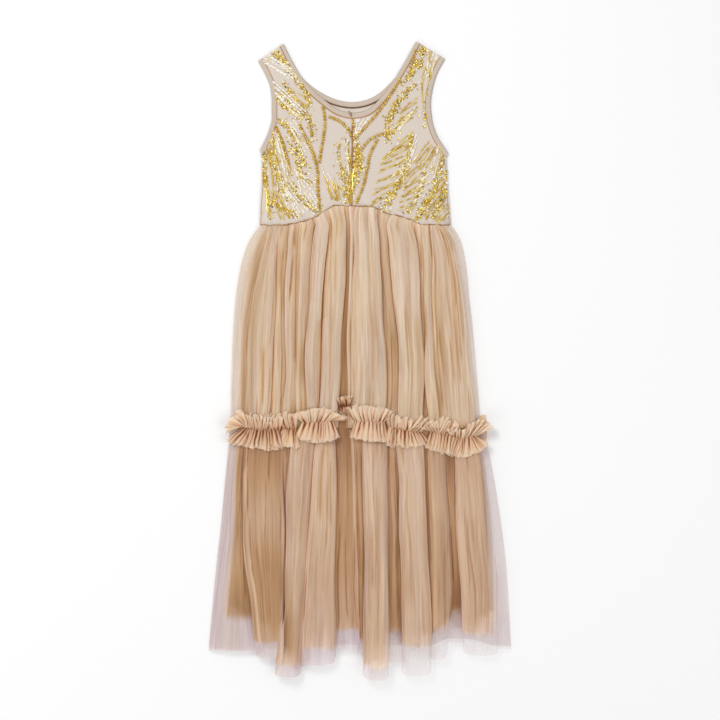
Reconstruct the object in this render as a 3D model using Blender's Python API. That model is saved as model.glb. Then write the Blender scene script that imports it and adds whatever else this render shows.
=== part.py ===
"""A girl's sleeveless party dress, laid flat on its back.

A beaded bodice with bound neck and armholes is sewn to a gathered skirt of two tulle tiers along a raised
empire seam. A pleated ruffle covers the join of the tiers, and a tulle underskirt and a lining lie inside.
+X is to the right of the front as it is looked at, +Y runs towards the shoulders, and +Z is up from the
surface that the dress lies on. The tables and sizes are in millimetres.
"""

import bmesh
import bpy
import numpy as np

MM = 0.001
SHARP_ANGLE = np.radians(50)

# Cloth. STEEPEST is how much further up a wall's outer face may be moved where it stands steep
WALL = 1.0
STEEPEST = 1.8
BACK_BODICE_WALL = 1.2
BINDING_WALL = 1.8
GAP = 0.3
EMPIRE_GAP = 0.5

# Levels of the undersides of the layers, from the surface up
TIER_BACK_Z = 0.0
UNDERSKIRT_BACK_Z = 2.8
LINING_BACK_Z = UNDERSKIRT_BACK_Z + WALL + GAP
LINING_FRONT_Z = LINING_BACK_Z + WALL + GAP
UNDERSKIRT_FRONT_Z = LINING_FRONT_Z + WALL + GAP
TIER_FRONT_Z = UNDERSKIRT_FRONT_Z + WALL + GAP
TIER_EDGE_Z = TIER_BACK_Z + WALL + GAP
BODICE_FRONT_Z = BACK_BODICE_WALL + GAP

# Main lines across the dress
BACK_SEAM_Y = 216.0
JOIN_Y = -109.0


def table(columns, *rows):
    """The rows' numbers as named columns."""
    return dict(zip(columns.split(), np.array(rows, float).T))


# Empire seam of the front, from side to side
EMPIRE_SEAM = table(
    "x y",
    (-161, 216),
    (-123, 216),
    (-97, 221),
    (-79, 226),
    (-64, 233),
    (-50, 243),
    (-36, 248),
    (-15, 246),
    (13, 246),
    (28, 242),
    (42, 235),
    (62, 230),
    (80, 225),
    (100, 216),
    (145, 216),
)

# Outer edges of the bodice, each from the shoulder
ARMHOLE_LEFT = table(
    "x y", (-163, 478), (-152, 458), (-143, 434), (-141, 411), (-141, 387), (-147, 364), (-160, 336)
)
ARMHOLE_RIGHT = table(
    "x y", (136, 482), (123, 458), (116, 434), (113, 411), (115, 387), (122, 363), (141, 332)
)
NECK_FRONT_LEFT = table(
    "x y", (-122, 506), (-109, 480), (-91, 450), (-77, 434), (-56, 416), (-34, 401), (-12, 396)
)
NECK_FRONT_RIGHT = table(
    "x y", (90, 510), (74, 481), (58, 454), (46, 436), (32, 419), (10, 400), (-12, 396)
)
NECK_BACK_LEFT = table(
    "x y", (-122, 506), (-109, 480), (-91, 449), (-69, 429), (-45, 418), (-14, 415)
)
NECK_BACK_RIGHT = table(
    "x y", (90, 510), (74, 481), (58, 453), (39, 432), (18, 419), (-14, 415)
)
SIDE_LEFT = table("x y", (-161, 216), (-160, 246), (-157, 282), (-156, 318))
SIDE_RIGHT = table("x y", (145, 216), (141, 246), (137, 293), (135, 320))
CENTRE_FRONT = table("x y", (-13, 246), (-12, 387))
ARMHOLE_BINDING = 8.0
NECK_BINDING_SHOULDER = 7.0
NECK_BINDING_CENTRE = 9.0

# Side edges of the tiers, from the top down
UPPER_EDGES = table(
    "y left right",
    (216, -160, 146),
    (202, -171, 156),
    (186, -180, 163),
    (164, -188, 168),
    (137, -194, 172),
    (103, -199, 175),
    (56, -203, 180),
    (-11, -206, 186),
    (-58, -207, 190),
    (-109, -207, 193),
)
LOWER_EDGES = table(
    "y left right",
    (-109, -207, 199),
    (-144, -211, 206),
    (-202, -217, 217),
    (-267, -223, 227),
    (-328, -230, 234),
    (-402, -237, 239),
    (-458, -242, 242),
)

# The folds of the front tiers, from left to right. A row gives where the crease on a fold's left lies at the
# top, middle and low end of the tier, how high the fold's crest stands, and how far it leans to the right.
# The first row is the left edge, where the front comes down to the back, and the last two rows are the same
# on the right.
UPPER_FOLDS = table(
    "top middle low height lean",
    (-160, -203, -207, 0.0, 0.0),
    (-150, -190, -194, 2.5, 0.0),
    (-143, -176, -181, 8.0, -0.8),
    (-131, -138, -146, 6.5, 0.4),
    (-113, -120, -120, 7.0, -0.5),
    (-92, -97, -100, 6.0, 0.5),
    (-74, -81, -91, 12.0, 0.3),
    (-58, -63, -66, 13.0, 0.6),
    (-30, -25, -34, 2.0, 0.0),
    (-8, -10, -9, 14.0, -0.4),
    (28, 34, 37, 6.0, 0.5),
    (48, 53, 60, 12.5, -0.4),
    (87, 96, 100, 2.5, 0.0),
    (98, 104, 109, 9.5, -0.3),
    (112, 123, 138, 8.0, 0.6),
    (130, 166, 179, 0.0, 0.0),
    (145, 180, 193, 0.0, 0.0),
)
LOWER_FOLDS = table(
    "top middle low height lean hem",
    (-207, -226, -242, 0.0, 0.0, -465),
    (-193, -207, -219, 2.5, 0.0, -466),
    (-181, -179, -156, 9.0, -0.7, -477),
    (-118, -120, -131, 3.0, 0.5, -488),
    (-98, -114, -127, 16.0, 0.5, -505),
    (-59, -82, -95, 10.0, 0.3, -488),
    (-44, -41, -46, 3.0, 0.0, -463),
    (-15, -12, 3, 6.0, 0.4, -472),
    (9, 10, 13, 17.0, 0.0, -510),
    (42, 44, 46, 3.0, 0.0, -481),
    (62, 68, 68, 15.0, 0.4, -503),
    (97, 107, 108, 11.0, 0.0, -476),
    (134, 143, 139, 3.0, 0.0, -452),
    (148, 155, 170, 9.0, 0.6, -470),
    (184, 212, 219, 0.0, 0.0, -462),
    (199, 227, 242, 0.0, 0.0, -462),
)
# How far the folds stand at each row of a tier, as a share of their height
UPPER_ROWS = table(
    "down gain", (0, 0.3), (0.09, 0.6), (0.22, 0.85), (0.42, 1), (0.64, 1), (0.86, 0.9), (1, 0.5)
)
LOWER_ROWS = table(
    "down gain", (0, 0.5), (0.1, 0.8), (0.28, 1), (0.5, 1), (0.72, 1), (0.9, 1), (1, 1)
)
# Across one fold, from crease to crease: its section, and how far its hem hangs at each point
FOLD_SECTION = table(
    "across height hang",
    (0, 0, 0),
    (0.13, 0.66, 0.72),
    (0.32, 0.94, 1),
    (0.5, 1, 1),
    (0.68, 0.94, 1),
    (0.87, 0.66, 0.72),
)

# Hems of the plain layers, from left to right
TIER_BACK_HEM = table(
    "x y",
    (-242, -458),
    (-228, -463),
    (-190, -464),
    (-130, -461),
    (-60, -457),
    (0, -455),
    (60, -457),
    (105, -458),
    (145, -446),
    (175, -447),
    (215, -457),
    (242, -458),
)
TIER_BACK_LOW = table("x y", (-207, JOIN_Y + GAP / 2), (0, JOIN_Y + GAP / 2), (193, JOIN_Y + GAP / 2))
TIER_BACK_LEVELS = {"upper": (186, 137, 60), "lower": (-230, -330, -458)}
UPPER_BACK_COLUMNS = 8
LOWER_BACK_COLUMNS = 22
UNDERSKIRT_HEM = table(
    "x y",
    (-214, -438),
    (-150, -452),
    (-90, -446),
    (-30, -455),
    (40, -450),
    (110, -444),
    (165, -452),
    (212, -440),
)
LINING_FRONT_HEM = table(
    "x y",
    (-202, -394),
    (-190, -404),
    (-165, -419),
    (-60, -420),
    (50, -434),
    (115, -437),
    (140, -415),
    (160, -400),
    (202, -410),
)
LINING_BACK_HEM = table("x y", (-202, -392), (-120, -406), (0, -416), (120, -408), (202, -398))
# How far the edges of the plain layers lie inside those of the tiers, down the skirt and at its top
INNER_INSET = table(
    "y underskirt lining", (216, 14, 17), (150, 18, 22), (-109, 17, 22), (-300, 21, 30), (-460, 27, 38)
)
INNER_TOP_INSET = 2.0
INNER_COLUMNS = 31
HEM_CORNER = 10.0

# Ruffle: its gathered middle line, and its two frilled wings
RUFFLE_LINE = table(
    "x y",
    (-219, -114),
    (-178, -109),
    (-150, -114),
    (-116, -110),
    (-89, -98),
    (-47, -98),
    (-24, -88),
    (-4, -98),
    (38, -98),
    (61, -109),
    (82, -114),
    (104, -106),
    (126, -115),
    (159, -121),
    (180, -117),
    (211, -108),
)
RUFFLE_PLEATS = 42
RUFFLE_COLUMNS_A_PLEAT = 4
# Across the ruffle, from its low edge to its high one: where a row lies, how far it stands off, and how deep
# its pleats are
RUFFLE_ROWS = table(
    "reach stand wave", (-25, 6, 3.6), (-14, 4, 2.2), (0, 0, 0.9), (13, 6, 2.4), (24, 9, 3.8)
)
RUFFLE_CLEAR = 0.5
RUFFLE_REACH_X = 6.0
RUFFLE_REACH_Y = 34.0
RUFFLE_END = 34.0
RUFFLE_BACK_HALF = 25.0
RUFFLE_BACK_WAVE = 2.0
# The skirt's rise over the back of the ruffle, and how far from the join it is full and over
LIFT_CLEAR = 0.2
LIFT = WALL + GAP + LIFT_CLEAR
BACK_LIFT_FLAT = 30.0
BACK_LIFT_END = 55.0
FRONT_LIFT_FLAT = 50.0
FRONT_LIFT_END = 95.0

# The front bodice rises to the skirt's layers near the empire seam
RISE_LENGTH = 75.0
RISE_IN = 13.0
PANEL_COLUMNS = 16
PANEL_LOW_ROWS = 6
PANEL_HIGH_ROWS = 8

TULLE = (0.60, 0.41, 0.25)
INNER_TULLE = (0.55, 0.37, 0.21)
SATIN = (0.52, 0.33, 0.19)
MESH_BEIGE = (0.70, 0.60, 0.49)
BINDING_BEIGE = (0.64, 0.54, 0.43)
TULLE_ROUGHNESS = 0.85
SATIN_ROUGHNESS = 0.45
MESH_ROUGHNESS = 0.6


def smoothstep(share):
    share = np.clip(share, 0, 1)
    return share * share * (3 - 2 * share)


def smooth_line(at, values, where):
    """Values of a smooth curve through the points (at, values), with no overshoot between them."""
    step = np.diff(at)
    rate = np.diff(values) / step
    slope = np.concatenate([rate[:1], np.zeros(len(at) - 2), rate[-1:]])
    before, after = rate[:-1], rate[1:]
    turning = before * after <= 0
    total = np.where(turning, 1, before + after)
    slope[1:-1] = np.where(turning, 0, 2 * before * after / total)
    i = np.clip(np.searchsorted(at, where, side="right") - 1, 0, len(step) - 1)
    t = np.clip((where - at[i]) / step[i], 0, 1)
    start = values[i] * (1 + 2 * t) + slope[i] * step[i] * t
    end = values[i + 1] * (3 - 2 * t) + slope[i + 1] * step[i] * (t - 1)
    return start * (1 - t) ** 2 + end * t**2


def along(outline, count):
    """That many points, evenly spread along the smooth curve through an outline's points."""
    points = np.stack([outline["x"], outline["y"]], axis=1)
    length = np.concatenate([[0], np.cumsum(np.linalg.norm(np.diff(points, axis=0), axis=1))])
    at = np.linspace(0, length[-1], count)
    return np.stack([smooth_line(length, points[:, k], at) for k in range(2)], axis=1)


def unit(vector):
    return vector / np.linalg.norm(vector, axis=-1, keepdims=True)


def moved_in(points, distance, side, first, last=None):
    """The line moved to its left (side 1) or its right (side -1). first and last are the ways its ends go."""
    way = unit(np.gradient(points, axis=0))
    across = side * np.stack([-way[:, 1], way[:, 0]], axis=1)
    across[0] = first
    if last is not None:
        across[-1] = last
    return points + across * np.reshape(distance, (-1, 1))


def empire_y(x):
    return smooth_line(EMPIRE_SEAM["x"], EMPIRE_SEAM["y"], x)


def upper_top_y(x):
    return empire_y(x) - EMPIRE_GAP / 2


def lower_top_y(x):
    return np.full_like(x, JOIN_Y - GAP / 2)


def front_top_y(x):
    return empire_y(x) - INNER_TOP_INSET


def back_top_y(x):
    return np.full_like(x, BACK_SEAM_Y - INNER_TOP_INSET)


def ruffle_lift(y, flat, end):
    """How far the skirt rises to lie on the ruffle: in full up to flat from the join, and fading up to end."""
    away = np.abs(y - JOIN_Y)
    return LIFT * (1 - smoothstep((away - flat) / (end - flat)))


def add_object(name, bm, colour, roughness):
    """A closed mesh in millimetres becomes a named object in metres with its own material."""
    bmesh.ops.recalc_face_normals(bm, faces=bm.faces)
    if bm.calc_volume(signed=True) < 0:
        bmesh.ops.reverse_faces(bm, faces=bm.faces)
    bmesh.ops.scale(bm, vec=(MM, MM, MM), verts=bm.verts)
    mesh = bpy.data.meshes.new(name)
    bm.to_mesh(mesh)
    bm.free()
    mesh.shade_smooth()
    mesh.set_sharp_from_angle(angle=SHARP_ANGLE)
    material = bpy.data.materials.new(name)
    material.use_nodes = True
    shader = material.node_tree.nodes["Principled BSDF"]
    shader.inputs["Base Color"].default_value = (*colour, 1)
    shader.inputs["Roughness"].default_value = roughness
    shader.inputs["Metallic"].default_value = 0
    mesh.materials.append(material)
    obj = bpy.data.objects.new(name, mesh)
    bpy.context.scene.collection.objects.link(obj)


def wall(name, under, over, colour, roughness):
    """A cloth wall between two grids of points, closed round its rim."""
    rows, columns = under.shape[:2]
    bm = bmesh.new()
    low = [[bm.verts.new(point) for point in row] for row in under]
    high = [[bm.verts.new(point) for point in row] for row in over]
    for r in range(rows - 1):
        for c in range(columns - 1):
            corners = ((r, c), (r, c + 1), (r + 1, c + 1), (r + 1, c))
            bm.faces.new([low[i][j] for i, j in reversed(corners)])
            bm.faces.new([high[i][j] for i, j in corners])
    rim = [(0, c) for c in range(columns)]
    rim += [(r, columns - 1) for r in range(1, rows)]
    rim += [(rows - 1, c) for c in range(columns - 2, -1, -1)]
    rim += [(r, 0) for r in range(rows - 2, 0, -1)]
    for (r, c), (s, d) in zip(rim, rim[1:] + rim[:1]):
        bm.faces.new((low[r][c], low[s][d], high[s][d], high[r][c]))
    add_object(name, bm, colour, roughness)


def thick(under, thickness):
    """The outer points of a wall: its inner points moved up, further where the cloth is steep."""
    across, down = np.gradient(under, axis=1), np.gradient(under, axis=0)
    normal = np.cross(across, down)
    steep = np.linalg.norm(normal, axis=2) / np.abs(normal[..., 2])
    over = under.copy()
    over[..., 2] += thickness * np.minimum(steep, STEEPEST)
    return over


def slab(name, outline, underside, thickness, colour, roughness):
    """A flat layer of cloth with that outline."""
    bm = bmesh.new()
    face = bm.faces.new([bm.verts.new((x, y, underside)) for x, y in outline])
    made = bmesh.ops.extrude_face_region(bm, geom=[face])
    top = [v for v in made["geom"] if isinstance(v, bmesh.types.BMVert)]
    bmesh.ops.translate(bm, vec=(0, 0, thickness), verts=top)
    add_object(name, bm, colour, roughness)


def ribbon(name, edge, inner, underside, thickness):
    """A binding between an edge and the line that it is sewn along."""
    under = np.stack([edge, inner], axis=1)
    under = np.concatenate([under, np.full(under.shape[:2] + (1,), underside)], axis=2)
    over = under + (0, 0, thickness)
    return wall(name, under, over, BINDING_BEIGE, MESH_ROUGHNESS)


def bodice_lines():
    """The bodice's edges from the shoulder, each with what its binding's seam line needs."""
    count = PANEL_HIGH_ROWS + 1
    neck_width = np.linspace(NECK_BINDING_SHOULDER, NECK_BINDING_CENTRE, count)
    lines = {}
    for hand, side, *outlines in (
        ("left", -1, ARMHOLE_LEFT, NECK_FRONT_LEFT, NECK_BACK_LEFT),
        ("right", 1, ARMHOLE_RIGHT, NECK_FRONT_RIGHT, NECK_BACK_RIGHT),
    ):
        armhole, front, back = (along(outline, count) for outline in outlines)
        shoulder = unit(front[0] - armhole[0])
        lines["armhole", hand] = (armhole, -side, ARMHOLE_BINDING, shoulder, None)
        lines["front", hand] = (front, side, neck_width, -shoulder, (0, -1))
        lines["back", hand] = (back, side, neck_width, -shoulder, (0, -1))
    return lines


def seam_line(line, extra=0.0):
    edge, side, width, first, last = line
    return moved_in(edge, width + extra, side, first, last)


def bodice_front(hand, lines):
    """One front panel, from the empire seam to the shoulder."""
    side_outline = SIDE_LEFT if hand == "left" else SIDE_RIGHT
    outward = -1 if hand == "left" else 1
    armhole = seam_line(lines["armhole", hand], GAP)[::-1]
    neck = seam_line(lines["front", hand], GAP)[::-1]
    centre = along(CENTRE_FRONT, PANEL_LOW_ROWS + 1) + (outward * GAP / 2, 0)
    centre[-1] = neck[0] = (centre[-1][0], neck[0][1])
    centre[:, 1] = np.linspace(empire_y(centre[0][0]), centre[-1][1], PANEL_LOW_ROWS + 1)
    side = along(side_outline, PANEL_LOW_ROWS + 1)
    side[-1] = armhole[0]
    u = np.linspace(0, 1, PANEL_COLUMNS + 1)[:, None]
    seam_x = side[0][0] + (centre[0][0] - side[0][0]) * u[:, 0]
    seam = np.stack([seam_x, empire_y(seam_x) + EMPIRE_GAP / 2], axis=1)
    chord = side[-1] + (centre[-1] - side[-1]) * u
    rows = []
    for v, at_side, at_centre in zip(np.linspace(0, 1, PANEL_LOW_ROWS + 1), side, centre):
        ruled = seam * (1 - v) + chord * v
        rows.append(ruled + (at_side - ruled[0]) * (1 - u) + (at_centre - ruled[-1]) * u)
    rows[0] = seam
    rows += [a + (b - a) * u for a, b in zip(armhole[1:], neck[1:])]
    flat = np.array(rows)
    x, y = flat[..., 0], flat[..., 1]
    rise = 1 - smoothstep((y - empire_y(x)) / RISE_LENGTH)
    inward = smoothstep(np.abs(x - x[:, :1]) / RISE_IN)
    z = BODICE_FRONT_Z + (TIER_FRONT_Z - BODICE_FRONT_Z) * rise * inward
    under = np.dstack([x, y, z])
    wall(f"bodice_front_{hand}", under, thick(under, WALL), MESH_BEIGE, MESH_ROUGHNESS)


def bodice_back(lines):
    outline = [(SIDE_LEFT["x"][0], BACK_SEAM_Y + GAP / 2)]
    outline += list(along(SIDE_LEFT, PANEL_LOW_ROWS + 1)[1:-1])
    outline += list(seam_line(lines["armhole", "left"], GAP)[::-1])
    outline += list(seam_line(lines["back", "left"], GAP))
    outline += list(seam_line(lines["back", "right"], GAP)[-2::-1])
    outline += list(seam_line(lines["armhole", "right"], GAP))
    outline += list(along(SIDE_RIGHT, PANEL_LOW_ROWS + 1)[-2:0:-1])
    outline += [(SIDE_RIGHT["x"][0], BACK_SEAM_Y + GAP / 2)]
    slab("bodice_back", outline, 0, BACK_BODICE_WALL, MESH_BEIGE, MESH_ROUGHNESS)


def bindings(lines):
    """The strips that bind the neck and the armholes, one on the back and one on the front."""
    for face, underside, thickness in (
        ("back", 0, BACK_BODICE_WALL),
        ("front", BODICE_FRONT_Z, BINDING_WALL),
    ):
        left, right = lines[face, "left"], lines[face, "right"]
        edge = np.concatenate([left[0], right[0][-2::-1]])
        inner = np.concatenate([seam_line(left), seam_line(right)[-2::-1]])
        ribbon(f"neck_binding_{face}", edge, inner, underside, thickness)
        for hand in ("left", "right"):
            line = lines["armhole", hand]
            ribbon(f"armhole_binding_{hand}_{face}", line[0], seam_line(line), underside, thickness)


def fold_lines(folds, edges, down):
    """Where the creases and side edges of a tier lie at one row: on a parabola through their three places."""
    lines = (
        folds["top"] * (1 - down) * (1 - 2 * down)
        + folds["middle"] * 4 * down * (1 - down)
        + folds["low"] * down * (2 * down - 1)
    )
    top_y, low_y = edges["y"][[0, -1]]
    at = np.array([top_y + (low_y - top_y) * down])
    for edge, index, beside in (("left", 0, 1), ("right", -1, -2)):
        moved = smooth_line(-edges["y"], edges[edge], -at)[0] - lines[index]
        lines[[index, beside]] += moved
    return lines


def fold_points(folds, lines, gain):
    """One row of a folded tier, as x and the height above the level that its creases lie on."""
    x, z = [], []
    last = len(lines) - 2
    for i in range(last + 1):
        across = FOLD_SECTION["across"] ** (2 ** -folds["lean"][i])
        height = folds["height"][i] * gain * FOLD_SECTION["height"]
        if i in (0, last):
            share = across if i == 0 else 1 - across
            height = (TIER_EDGE_Z - TIER_FRONT_Z) * (1 - smoothstep(share))
        x.append(lines[i] + (lines[i + 1] - lines[i]) * across)
        z.append(height)
    x.append(lines[-1:])
    z.append([TIER_EDGE_Z - TIER_FRONT_Z])
    return np.concatenate(x), np.concatenate(z)


def hem_points(folds):
    """How low the hem hangs at each point across the folds: each fold's end is a rounded tongue."""
    hem = folds["hem"]
    y = []
    for i in range(len(hem) - 1):
        left = max(hem[i], hem[max(i - 1, 0)])
        right = max(hem[i], hem[min(i + 1, len(hem) - 1)])
        corner = np.where(FOLD_SECTION["across"] < 0.5, left, right)
        y.append(corner + (hem[i] - corner) * FOLD_SECTION["hang"])
    y.append([LOWER_EDGES["y"][-1]])
    y[0][0] = LOWER_EDGES["y"][-1]
    return np.concatenate(y)


def tier_front(folds, rows, edges, top_y, low_y):
    """The inner points of a folded front tier, whose columns go from top_y of their x to low_y."""
    top = top_y(fold_points(folds, fold_lines(folds, edges, 0), 1)[0])
    under = []
    for down, gain in zip(rows["down"], rows["gain"]):
        x, height = fold_points(folds, fold_lines(folds, edges, down), gain)
        y = top + (low_y - top) * down
        lift = ruffle_lift(y, FRONT_LIFT_FLAT, FRONT_LIFT_END)
        at_edge = smoothstep(-height / (TIER_FRONT_Z - TIER_EDGE_Z))
        under.append(np.stack([x, y, TIER_FRONT_Z + height + lift * at_edge], axis=1))
    return np.array(under)


def tier_back(name, edges, levels, low_edge, columns):
    """A back tier, flat on the surface but for where it lies on the ruffle."""
    share = np.linspace(0, 1, columns + 1)
    left, right = (smooth_line(-edges["y"], edges[k], -levels) for k in ("left", "right"))
    x = left[:, None] + (right - left)[:, None] * share
    down = (levels[0] - levels) / (levels[0] - levels[-1])
    low_y = smooth_line(low_edge["x"], low_edge["y"], x[-1])
    y = levels[:, None] + (low_y - levels[-1]) * down[:, None] ** 3
    under = np.dstack([x, y, TIER_BACK_Z + ruffle_lift(y, BACK_LIFT_FLAT, BACK_LIFT_END)])
    wall(name, under, under + (0, 0, WALL), TULLE, TULLE_ROUGHNESS)


def inner_outline(inset, top_y, hem):
    """The outline of a plain layer inside the skirt: it follows the tiers' edges at a distance."""
    edges_y = np.concatenate([UPPER_EDGES["y"], LOWER_EDGES["y"][1:-1]])
    edges_left = np.concatenate([UPPER_EDGES["left"], LOWER_EDGES["left"][1:-1]])
    edges_right = np.concatenate([UPPER_EDGES["right"], LOWER_EDGES["right"][1:-1]])
    inward = np.interp(-edges_y, -INNER_INSET["y"], INNER_INSET[inset])
    left, right = edges_left + inward, edges_right - inward
    top_x = np.linspace(left[0], right[0], INNER_COLUMNS + 1)
    hem_x = np.linspace(hem["x"][0], hem["x"][-1], INNER_COLUMNS + 1)
    shown = (edges_y < top_y(top_x).min() - GAP) & (edges_y > max(hem["y"][0], hem["y"][-1]) + HEM_CORNER)
    outline = list(zip(top_x, top_y(top_x)))
    outline += list(zip(right[shown], edges_y[shown]))
    outline += list(zip(hem_x[::-1], smooth_line(hem["x"], hem["y"], hem_x[::-1])))
    return outline + list(zip(left[shown][::-1], edges_y[shown][::-1]))


def ruffle_front(tiers):
    """The gathered strip on the front: two pleated wings that stand away from the tiers under it."""
    columns = RUFFLE_PLEATS * RUFFLE_COLUMNS_A_PLEAT + 1
    line = RUFFLE_LINE
    x = np.linspace(line["x"][0], line["x"][-1], columns)
    y = smooth_line(line["x"], line["y"], x)
    carried = np.array([carrier_height(tiers, *at) for at in zip(x, y)])
    span = RUFFLE_COLUMNS_A_PLEAT
    padded = np.pad(carried, span, mode="edge")
    highest = np.max([padded[k : k + columns] for k in range(2 * span + 1)], axis=0)
    padded = np.pad(highest, span, mode="edge")
    level = np.mean([padded[k : k + columns] for k in range(2 * span + 1)], axis=0) + RUFFLE_CLEAR
    level[0] = level[-1] = TIER_BACK_Z + WALL + GAP
    wave = (1 - np.cos(2 * np.pi * np.arange(columns) / RUFFLE_COLUMNS_A_PLEAT)) / 2
    ends = smoothstep(np.minimum(x - x[0], x[-1] - x) / RUFFLE_END)
    under = []
    for reach, stand, swing in zip(RUFFLE_ROWS["reach"], RUFFLE_ROWS["stand"], RUFFLE_ROWS["wave"]):
        under.append(np.stack([x, y + reach, level + stand * ends + swing * wave], axis=1))
    under = np.array(under)
    wall("ruffle_front", under, thick(under, WALL), TULLE, TULLE_ROUGHNESS)


def carrier_height(tiers, x, y):
    """The highest point of the tiers close to a place on the ruffle's line."""
    near = (np.abs(tiers[:, 0] - x) < RUFFLE_REACH_X) & (np.abs(tiers[:, 1] - y) < RUFFLE_REACH_Y)
    return tiers[near, 2].max() if near.any() else TIER_BACK_Z + WALL


def ruffle_back():
    """The same strip under the back, pressed flat by the dress."""
    count = 2 * RUFFLE_PLEATS + 1
    x = np.linspace(RUFFLE_LINE["x"][0], RUFFLE_LINE["x"][-1], count)
    wave = RUFFLE_BACK_WAVE * np.cos(np.pi * np.arange(count))
    upper, lower = JOIN_Y + RUFFLE_BACK_HALF + wave, JOIN_Y - RUFFLE_BACK_HALF + wave
    outline = list(zip(x, upper)) + list(zip(x[::-1], lower[::-1]))
    slab("ruffle_back", outline, TIER_BACK_Z, WALL, TULLE, TULLE_ROUGHNESS)


def front_tiers():
    """Both front tiers. It returns all their outer points, which the ruffle lies on."""
    tops = []
    for name, folds, rows, edges, top_y, low_y in (
        ("skirt_upper_front", UPPER_FOLDS, UPPER_ROWS, UPPER_EDGES, upper_top_y, JOIN_Y + GAP / 2),
        ("skirt_lower_front", LOWER_FOLDS, LOWER_ROWS, LOWER_EDGES, lower_top_y, hem_points(LOWER_FOLDS)),
    ):
        under = tier_front(folds, rows, edges, top_y, low_y)
        over = thick(under, WALL)
        wall(name, under, over, TULLE, TULLE_ROUGHNESS)
        tops.append(over.reshape(-1, 3))
    return np.concatenate(tops)


def back_tiers():
    lifted = JOIN_Y + np.array([BACK_LIFT_END, (BACK_LIFT_END + BACK_LIFT_FLAT) / 2, BACK_LIFT_FLAT, GAP / 2])
    upper = np.concatenate([[BACK_SEAM_Y - GAP / 2], TIER_BACK_LEVELS["upper"], lifted])
    lower = np.concatenate([2 * JOIN_Y - lifted[::-1], TIER_BACK_LEVELS["lower"]])
    tier_back("skirt_upper_back", UPPER_EDGES, upper, TIER_BACK_LOW, UPPER_BACK_COLUMNS)
    tier_back("skirt_lower_back", LOWER_EDGES, lower, TIER_BACK_HEM, LOWER_BACK_COLUMNS)


def inner_layers():
    """The underskirt and the lining, each with a back and a front that lie on each other."""
    for face, top_y, levels, lining_hem in (
        ("back", back_top_y, (UNDERSKIRT_BACK_Z, LINING_BACK_Z), LINING_BACK_HEM),
        ("front", front_top_y, (UNDERSKIRT_FRONT_Z, LINING_FRONT_Z), LINING_FRONT_HEM),
    ):
        outline = inner_outline("underskirt", top_y, UNDERSKIRT_HEM)
        slab(f"underskirt_{face}", outline, levels[0], WALL, INNER_TULLE, TULLE_ROUGHNESS)
        outline = inner_outline("lining", top_y, lining_hem)
        slab(f"lining_{face}", outline, levels[1], WALL, SATIN, SATIN_ROUGHNESS)


def main():
    for obj in list(bpy.data.objects):
        bpy.data.objects.remove(obj)
    lines = bodice_lines()
    bodice_back(lines)
    bodice_front("left", lines)
    bodice_front("right", lines)
    bindings(lines)
    carriers = front_tiers()
    back_tiers()
    inner_layers()
    ruffle_front(carriers)
    ruffle_back()


main()
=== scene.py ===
"""The looks of a girl's sleeveless tulle party dress, laid flat on its back.

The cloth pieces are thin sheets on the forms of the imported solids, with finer gathers and folds. The tables
and sizes are in millimetres: +X is to the right of the front as it is looked at, +Y runs towards the
shoulders, and +Z is up from the surface that the dress lies on.
"""

from types import SimpleNamespace

import bpy
import numpy as np
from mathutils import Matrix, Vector
from mathutils.bvhtree import BVHTree


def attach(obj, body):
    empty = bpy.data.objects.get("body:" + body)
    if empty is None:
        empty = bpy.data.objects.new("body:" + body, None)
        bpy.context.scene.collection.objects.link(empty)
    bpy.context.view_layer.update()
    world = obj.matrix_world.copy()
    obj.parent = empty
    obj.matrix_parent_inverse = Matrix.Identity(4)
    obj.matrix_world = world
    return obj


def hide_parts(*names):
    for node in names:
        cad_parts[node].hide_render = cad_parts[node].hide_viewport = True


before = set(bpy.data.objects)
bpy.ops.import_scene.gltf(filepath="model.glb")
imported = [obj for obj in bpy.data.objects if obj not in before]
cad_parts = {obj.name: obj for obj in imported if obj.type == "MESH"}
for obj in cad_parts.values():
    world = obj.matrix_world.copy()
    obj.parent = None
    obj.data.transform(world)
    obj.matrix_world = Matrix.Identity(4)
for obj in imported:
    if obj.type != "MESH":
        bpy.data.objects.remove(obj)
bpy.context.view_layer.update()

MM = 0.001

# Levels of the layers, from the surface up
TIER_BACK_Z = 0.4
UNDERSKIRT_BACK_Z = 3.3
LINING_BACK_Z = 4.6
LINING_FRONT_Z = 5.9
UNDERSKIRT_FRONT_Z = 7.0
TIER_FRONT_Z = 8.6
TIER_EDGE_Z = 1.6
BACK_BODICE_Z = 1.2
BODICE_FRONT_Z = 2.4
# The bindings' undersides and how high they stand
BINDING_LEVELS = {"back": (0.1, 1.25), "front": (1.5, 1.9)}

BACK_SEAM_Y = 216.0
JOIN_Y = -109.0

UP, DOWN = Vector((0, 0, 1)), Vector((0, 0, -1))
ABOVE_ALL, BELOW_ALL = 80.0, -5.0


def table(columns, *rows):
    """The rows' numbers as named columns."""
    return dict(zip(columns.split(), np.array(rows, float).T))


EMPIRE_SEAM = table(
    "x y",
    (-161, 216), (-123, 216), (-97, 221), (-79, 226), (-64, 233), (-50, 243), (-36, 248), (-15, 246),
    (13, 246), (28, 242), (42, 235), (62, 230), (80, 225), (100, 216), (145, 216),
)
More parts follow.
